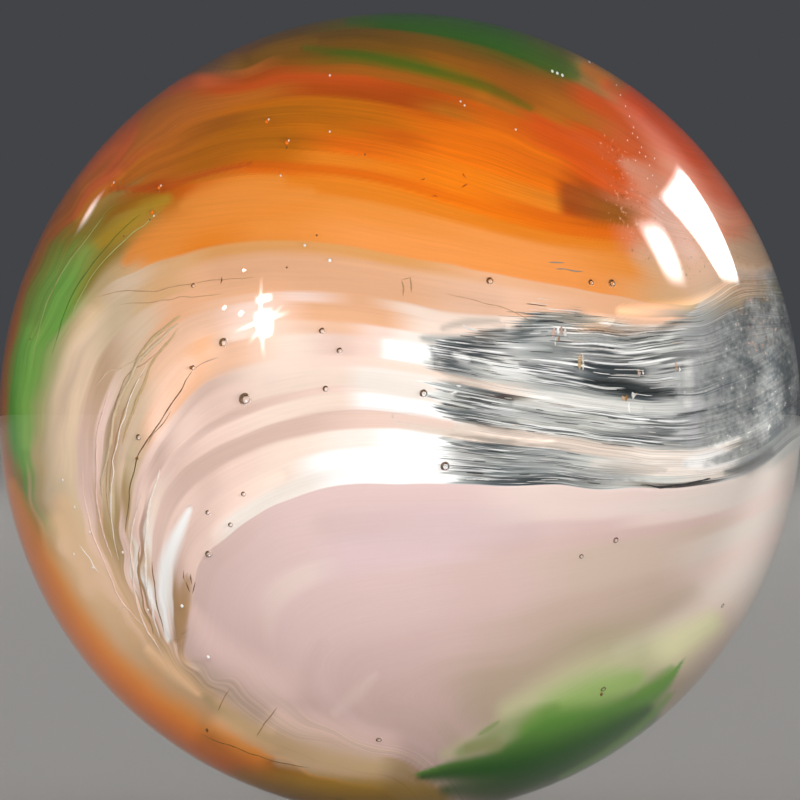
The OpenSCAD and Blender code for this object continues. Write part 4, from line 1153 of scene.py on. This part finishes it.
def floor_finish():
    net = Net("Pale floor")
    return net.finish(net.add("BsdfPrincipled", sockets={"Base Color": paint("floor"), "Roughness": 0.7}))


# ---------------------------------------------------------------- the folded core

flow_field = Flow(whole_lines())
calm_field = Flow(whole_lines(), BACK_SLACK)


def pane_edges(along, over):
    """How far a place lies inside the window: past its left end, and under its upper edge."""
    return along - read(PANE_LEFT, over), read(PANE_TOP, along) - over


def core_relief(along, over, behind):
    """Height of the core's surface over its plain radius."""
    side, rise = pane_edges(along, over)
    open_pane = smooth(-0.1, 1.3, side) * smooth(0, 0.3, over) * smooth(-0.05, 0.5, rise)
    open_pane *= in_front(behind, 0.35) * (1 - 0.85 * smooth(4.6, 6.2, along))
    brushed = ripple(along, over, 9, 40, 5)
    height = -PANE_DEPTH * open_pane + 0.035 * brushed * open_pane
    fan = smooth(0.05, 0.3, over) * (1 - smooth(4.2, 4.6, over)) * (1 - open_pane)
    fan *= smooth(-8.6, -7.0, along)
    for middle, reach, swell in RIBBON_SWELLS:
        height += fan * swell * np.exp(-(((over - middle) / reach) ** 2))
    amber = smooth(5.8, 6.4, over) * (1 - smooth(8.8, 9.4, over))
    return height + 0.006 * amber * ripple(along, over, 9, 30, 8)


def core_shape(directions):
    """The core's radius in each direction, where that point is seen, how far behind the rim it lies, and
    its place in the flow. Behind the rim the calmer field takes over."""
    radius = np.full(len(directions), CORE_R)
    for _ in range(2):
        places, behind = front_place(directions, radius / BALL_R)
        flow = flow_field.at(places)
        back = behind > 0.01
        calmer = calm_field.at(places[back]) - flow[back]
        flow[back] += calmer * smooth(0.01, 0.2, behind[back])[:, None]
        radius = CORE_R + core_relief(flow[:, 0], flow[:, 1], behind)
    return radius, places, behind, flow


def outer_tint(along, over, frayed, near):
    """The colours over the ribbons: the left side's up to where the orange begins, and then the orange's."""
    wander = along + 0.25 * near * ripple(along, over, 7, 9, 4)
    left = layered(LEFT_STREAMS, wander, over + 0.15 * near * ripple(along, over, 7, 9, 6))
    outer = layered(OUTER_STREAMS, along, frayed)
    return left + (outer - left) * smooth(-5.3, -4.7, wander)[:, None]


def make_core():
    directions, quads = cube_ball(CORE_CELLS)
    directions = toward_front(directions, TOWARD_FRONT)
    radius, places, behind, flow = core_shape(directions)
    core = make_mesh("folded_colours", directions * radius[:, None], quads, swirl_glass())
    store(core, "flow", np.c_[flow, behind * BACK_CHANGE])
    along, over = flow.T
    side, rise = pane_edges(along, over)
    side -= WINDOW_CLOSING * smooth(0.05, 0.9, behind)
    store(core, "pane", np.c_[side, rise, behind])
    near = in_front(behind, 0.12)
    frayed = over + 0.05 * (1 - smooth(2.4, 4.2, along)) * near * ripple(along, over, 9, 22, 3)
    store(core, "opal tint", layered(OPAL_STREAMS, along, frayed))
    store(core, "outer tint", outer_tint(along, over, frayed, near))
    tint, cover = washed(places)
    store(core, "wash tint", tint)
    store(core, "wash cover", (cover * in_front(behind, 0.3))[:, None])
    scuffs = 1 - smooth(0.2, 1.6, stroke(places, SCUFFED)) - smooth(0, 0.4, behind)
    store(core, "scuffs", scuffs[:, None])
    # Painted light and shade over the streams, faded out behind the rim.
    gain = sum(share * (1 - smooth(0.0, 1.9, stroke(places, path))) for share, path in PAINTED_LIGHT_AND_SHADE)
    store(core, "lightness", 1 + (gain * in_front(behind, 0.4))[:, None])
    return core


# ---------------------------------------------------------------- the clear skin and its seeds


def air_seeds(node):
    """Centre and radius, in millimetres, of each void that the solid holds."""
    net = bmesh.new()
    net.from_mesh(node.data)
    bmesh.ops.remove_doubles(net, verts=net.verts, dist=1e-3 * MM)
    waiting, shells = set(net.verts), []
    while waiting:
        grown, shell = [waiting.pop()], []
        while grown:
            vertex = grown.pop()
            shell.append(vertex.co / MM)
            for edge in vertex.link_edges:
                other = edge.other_vert(vertex)
                if other in waiting:
                    waiting.remove(other)
                    grown.append(other)
        shells.append(np.array(shell))
    net.free()
    shells.sort(key=lambda shell: (len(shell), *shell.min(0)))
    middles = [(shell.min(0) + shell.max(0)) / 2 for shell in shells[:-1]]
    return [(m, (shell.max(0) - shell.min(0)).max() / 2) for m, shell in zip(middles, shells)]


def skin_seeds():
    """The seeds that lie in the clear skin."""
    seeds = air_seeds(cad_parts["marble"])
    return [seed for seed in seeds if np.linalg.norm(seed[0]) > CORE_R + SEED_HEIGHT]


def make_skin():
    """The ball's polished skin, with a small bubble of air wherever the solid has one over the colours."""
    directions, quads = cube_ball(SKIN_CELLS)
    points, faces = [directions * BALL_R], [quads]
    seed_points, seed_faces = cube_ball(SEED_CELLS)
    count = len(directions)
    for middle, radius in skin_seeds():
        points.append(middle + seed_points * min(radius, BALL_R - SEED_COVER - np.linalg.norm(middle)))
        faces.append(seed_faces[:, ::-1] + count)
        count += len(seed_points)
    return make_mesh("clear_skin", np.concatenate(points), np.concatenate(faces), clear_glass())


# ---------------------------------------------------------------- threads and specks


def taper(count):
    """The thickness of a thread along its length: pointed at both ends."""
    t = np.linspace(0, 1, count)
    return np.sqrt(np.clip(1 - (2 * t - 1) ** 4, 0.02, 1))


def crooked(trail, sway, seed):
    """A trail with small natural bends."""
    draw = np.random.default_rng(seed)
    bends = draw.normal(0, 1, (len(trail) // 3 + 2, 2))
    place = np.linspace(0, len(bends) - 1, len(trail))
    return trail + sway * np.stack([np.interp(place, range(len(bends)), bends[:, i]) for i in (0, 1)], 1)


def surface_share(places):
    """The core's radius under each place, as a share of the ball's."""
    flow = flow_field.at(places)
    return (CORE_R + core_relief(flow[:, 0], flow[:, 1], np.zeros(len(places)))) / BALL_R


def in_window(along, over):
    """Where the window's hairlines may start: inside it, and off its milky ribbons."""
    side, rise = pane_edges(along, over)
    inside = (side > 0.15) & (rise > np.where(along < 3, -0.45, 0.05)) & (over > 0.1) & (along < HAIRLINE_END)
    milky = (abs(over - 1.25) < 0.17) | (abs(over - 2.31) < 0.1) | ((over < 1.05) & (along > 3.8))
    return inside & ~milky


def followed(place, stride, steps, pitch=0.02):
    """Steps along the flow from each place: the flow runs level in its height over the seam."""
    trail = []
    for _ in range(steps):
        trail.append(place)
        here = flow_field.at(place)[:, 1]
        across = flow_field.at(place + (pitch, 0))[:, 1] - here
        upward = flow_field.at(place + (0, pitch))[:, 1] - here
        way = np.stack([upward, -across], 1) / np.hypot(across, upward)[:, None]
        place = place + way * stride
    return np.stack(trail, 1)


def window_lines():
    """Hairlines in the clear window. Each follows the flow from a place of its own, at its own depth. Their
    greys and whites paint the dark edges and the glints of the window's striae.
    """
    draw = np.random.default_rng(12)
    place = draw.uniform(HAIRLINES_FROM, HAIRLINES_TO, (HAIRLINES * 5, 2))
    place = place[in_window(*flow_field.at(place).T)][:HAIRLINES]
    stride = draw.uniform(0.01, 0.06, len(place))[:, None]
    trails = followed(place, stride, HAIRLINE_STEPS)
    names = draw.choice(HAIRLINE_COLOURS, len(place))
    depths = draw.uniform(0.1, 0.9, len(place))
    thick = draw.uniform(0.003, 0.009, len(place))
    lines = []
    for trail, name, depth, half_width in zip(trails, names, depths, thick):
        floor = surface_share(trail)
        share = floor + (CORE_R / BALL_R - floor) * depth
        lines.append((under(trail, share), half_width * taper(HAIRLINE_STEPS), name))
    return lines


def hand_lines():
    """The threads and cracks, laid on the colours."""
    lines = []
    for i, (name, thick, path) in enumerate(THREADS):
        trail = crooked(dense(path, THREAD_PITCH), THREAD_SWAY, i)
        uneven = 1 + THREAD_UNEVEN * np.random.default_rng(i + 99).uniform(-1, 1, len(trail))
        lines.append((under(trail, surface_share(trail)), thick * uneven * taper(len(trail)), name))
    return lines


def speck_lines():
    """Specks, each a short thick thread half-way between the colours and the skin."""
    outline = np.sqrt([0.1, 0.75, 1, 0.75, 0.1])
    depth = np.full(SPECK_STEPS, SPECK_DEPTH)
    lines = []
    for name, size, places in FLECKS:
        for place in places:
            trail = np.array(place) + np.linspace(-1, 1, SPECK_STEPS)[:, None] * (0, size)
            lines.append((under(trail, depth), size * outline, name))
    return lines


def painted_bubble_shade_and_glints():
    """Painted shade and a painted highlight on each bubble: a dark crescent on its edge and a white spark on
    its face.
    """
    lines = []
    turn = np.linspace(0.25, 1.35, 11)[:, None] * math.pi
    for middle, radius in skin_seeds():
        out = middle / np.linalg.norm(middle)
        side = np.cross(out, (0, 0, 1)) / np.linalg.norm(np.cross(out, (0, 0, 1)))
        up = np.cross(side, out)
        if side[0] < 0:
            side = -side
        # The dark crescent is painted shade.
        ring = middle + 0.4 * radius * out + 0.84 * radius * (np.cos(turn) * side + np.sin(turn) * up)
        lines.append((ring, radius * 0.24 * taper(len(turn)), "umber"))
        # The white spark is a painted highlight.
        spark = middle + 0.7 * radius * out + 0.3 * radius * (side - up)
        spark = spark + np.linspace(-0.2, 0.2, 4)[:, None] * radius * up
        lines.append((spark, radius * 0.2 * taper(4), "white"))
    return lines


def tube_tree():
    """Geometry nodes that give each line of a mesh a round body of its own thickness."""
    tree = bpy.data.node_groups.new("Drawn thread", "GeometryNodeTree")
    for name, kind in {"Lines": "Geometry", "Sides": "Int", "Glass": "Material"}.items():
        tree.interface.new_socket(name, in_out="INPUT", socket_type="NodeSocket" + kind)
    tree.interface.new_socket("Threads", in_out="OUTPUT", socket_type="NodeSocketGeometry")

    def node(kind, **links):
        added = tree.nodes.new(kind)
        for name, value in links.items():
            name = name.replace("_", " ")
            if isinstance(value, bpy.types.NodeSocket):
                tree.links.new(value, added.inputs[name])
            else:
                added.inputs[name].default_value = value
        return added.outputs

    given = node("NodeGroupInput")
    curve = node("GeometryNodeMeshToCurve", Mesh=given["Lines"])["Curve"]
    ring = node("GeometryNodeCurvePrimitiveCircle", Resolution=given["Sides"], Radius=1.0)["Curve"]
    thick = node("GeometryNodeInputNamedAttribute", Name="thickness")["Attribute"]
    round_bodies = {"Curve": curve, "Profile_Curve": ring, "Scale": thick, "Fill_Caps": True}
    tube = node("GeometryNodeCurveToMesh", **round_bodies)["Mesh"]
    real = node("GeometryNodeRealizeInstances", Geometry=tube)["Geometry"]
    done = node("GeometryNodeSetMaterial", Geometry=real, Material=given["Glass"])["Geometry"]
    node("NodeGroupOutput", Threads=done)
    return tree


def make_threads(name, lines, sides, glass):
    """One piece from lines of (points, half-width at each, colour), each tube with so many sides."""
    points = np.concatenate([line for line, _, _ in lines])
    lasts = np.cumsum([len(line) for line, _, _ in lines]) - 1
    firsts = np.setdiff1d(np.arange(len(points)), lasts)
    mesh = bpy.data.meshes.new(name)
    mesh.from_pydata((points * MM).tolist(), np.stack([firsts, firsts + 1], 1).tolist(), [])
    piece = bpy.data.objects.new(name, mesh)
    bpy.context.scene.collection.objects.link(piece)
    store(piece, "thickness", np.concatenate([thick for _, thick, _ in lines])[:, None] * MM)
    tints = [np.tile(linear(name), (len(line), 1)) for line, _, name in lines]
    store(piece, "tint", np.concatenate(tints))
    tree = tube_tree()
    modifier = piece.modifiers.new("Drawn thread", "NODES")
    modifier.node_group = tree
    given = {"Sides": sides, "Glass": glass}
    for socket in tree.interface.items_tree:
        if socket.name in given:
            modifier[socket.identifier] = given[socket.name]
    drawn = bpy.data.meshes.new_from_object(piece.evaluated_get(bpy.context.evaluated_depsgraph_get()))
    piece.modifiers.remove(modifier)
    piece.data = drawn
    drawn.name = name
    drawn.shade_smooth()
    return piece


def thread_glass():
    net = Net("Drawn threads")
    tint = net.attribute("tint")
    wisp = net.grain(net.add("TexCoord", out="Object"), (9000, 9000, 9000), 3)
    colour = net.add("VectorMath", {"operation": "SCALE"}, {0: tint, "Scale": 1 + wisp * 0.3})
    return net.finish(net.add("BsdfPrincipled", sockets={"Base Color": colour, "Roughness": 0.35}))


def make_all_threads():
    glass = thread_glass()
    return [
        make_threads("threads_and_cracks", hand_lines(), 6, glass),
        make_threads("window_hairlines", window_lines(), 4, glass),
        # The bubbles' dark crescents and white sparks here are painted shade and painted highlights.
        make_threads("specks_and_painted_bubble_light_and_shade", speck_lines() + painted_bubble_shade_and_glints(), 6, glass),
    ]


# ---------------------------------------------------------------- the studio


def glint(across, height):
    """The direction from which light reaches the eye by the skin at this place of the front."""
    normal = Vector((across, -math.sqrt(BALL_R**2 - across**2 - height**2), height)) / BALL_R
    ray = Vector((across, EYE, height)).normalized()
    return ray - 2 * ray.dot(normal) * normal


def lamp(name, middle, long_way, length, width, watts, **seen):
    """A rectangular lamp that faces the ball from far off."""
    data = bpy.data.lights.new(name, "AREA")
    data.shape = "RECTANGLE"
    data.size, data.size_y, data.energy = length, width, watts
    away = middle.normalized()
    first = (long_way - long_way.dot(away) * away).normalized()
    turn = Matrix((first, away.cross(first), away)).transposed().to_4x4()
    light = bpy.data.objects.new(name, data)
    light.matrix_world = Matrix.Translation(middle) @ turn
    for ray, shows in seen.items():
        setattr(light, "visible_" + ray, shows)
    bpy.context.scene.collection.objects.link(light)


def make_lamps():
    for name, place, length, width, watts in SOFT_LAMPS:
        lamp(name, Vector(place), Vector((1, 0, 0.01)), length, width, watts, glossy=False, camera=False)


def make_room():
    """The grey room, the darker backdrop that the eye sees, and the bright openings in the gloss."""
    world = bpy.data.worlds.new("Studio")
    bpy.context.scene.world = world
    world.use_nodes = True
    net = Net("", world.node_tree)
    gloss = net.add("LightPath", out="Is Glossy Ray")
    seen = net.math("MAXIMUM", gloss, net.add("LightPath", out="Is Camera Ray"))
    seen = net.math("MAXIMUM", seen, net.add("LightPath", out="Is Transmission Ray"))
    shown = net.mix(seen, paint("room"), paint("backdrop"))
    way = net.add("TexCoord", out="Generated")
    for _, start, end, widths, soft, brightness, colour in GLINTS:
        half_widths = [math.radians(width) / 2 for width in widths]
        share = net.opening(way, glint(*start), glint(*end), half_widths, soft)
        shown = net.mix(share * gloss, shown, (*(linear(colour) * brightness), 1))
    net.finish(net.add("Background", sockets={"Color": shown}))


def make_floor():
    mesh = bpy.data.meshes.new("floor")
    disc = bmesh.new()
    bmesh.ops.create_circle(disc, cap_ends=True, segments=96, radius=FLOOR_R)
    bmesh.ops.translate(disc, verts=disc.verts, vec=(0, 0, cad_box[0].z))
    disc.to_mesh(mesh)
    disc.free()
    mesh.materials.append(floor_finish())
    floor = bpy.data.objects.new("floor", mesh)
    bpy.context.scene.collection.objects.link(floor)


def make_camera():
    data = bpy.data.cameras.new("camera")
    data.sensor_fit = "HORIZONTAL"
    data.angle = 2 * math.atan(HALF_VIEW)
    data.clip_start = 0.01
    camera = bpy.data.objects.new("camera", data)
    camera.location = (0, -EYE * MM, EYE_HEIGHT * MM)
    camera.rotation_euler = (math.pi / 2, 0, 0)
    bpy.context.scene.collection.objects.link(camera)
    bpy.context.scene.camera = camera


# ---------------------------------------------------------------- the marble

core = make_core()
skin = make_skin()
for piece in (core, skin, *make_all_threads()):
    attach(piece, "root")
    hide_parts("marble")
make_lamps()
make_room()
make_floor()
make_camera()

view = bpy.context.scene.view_settings
view.view_transform = "Standard"
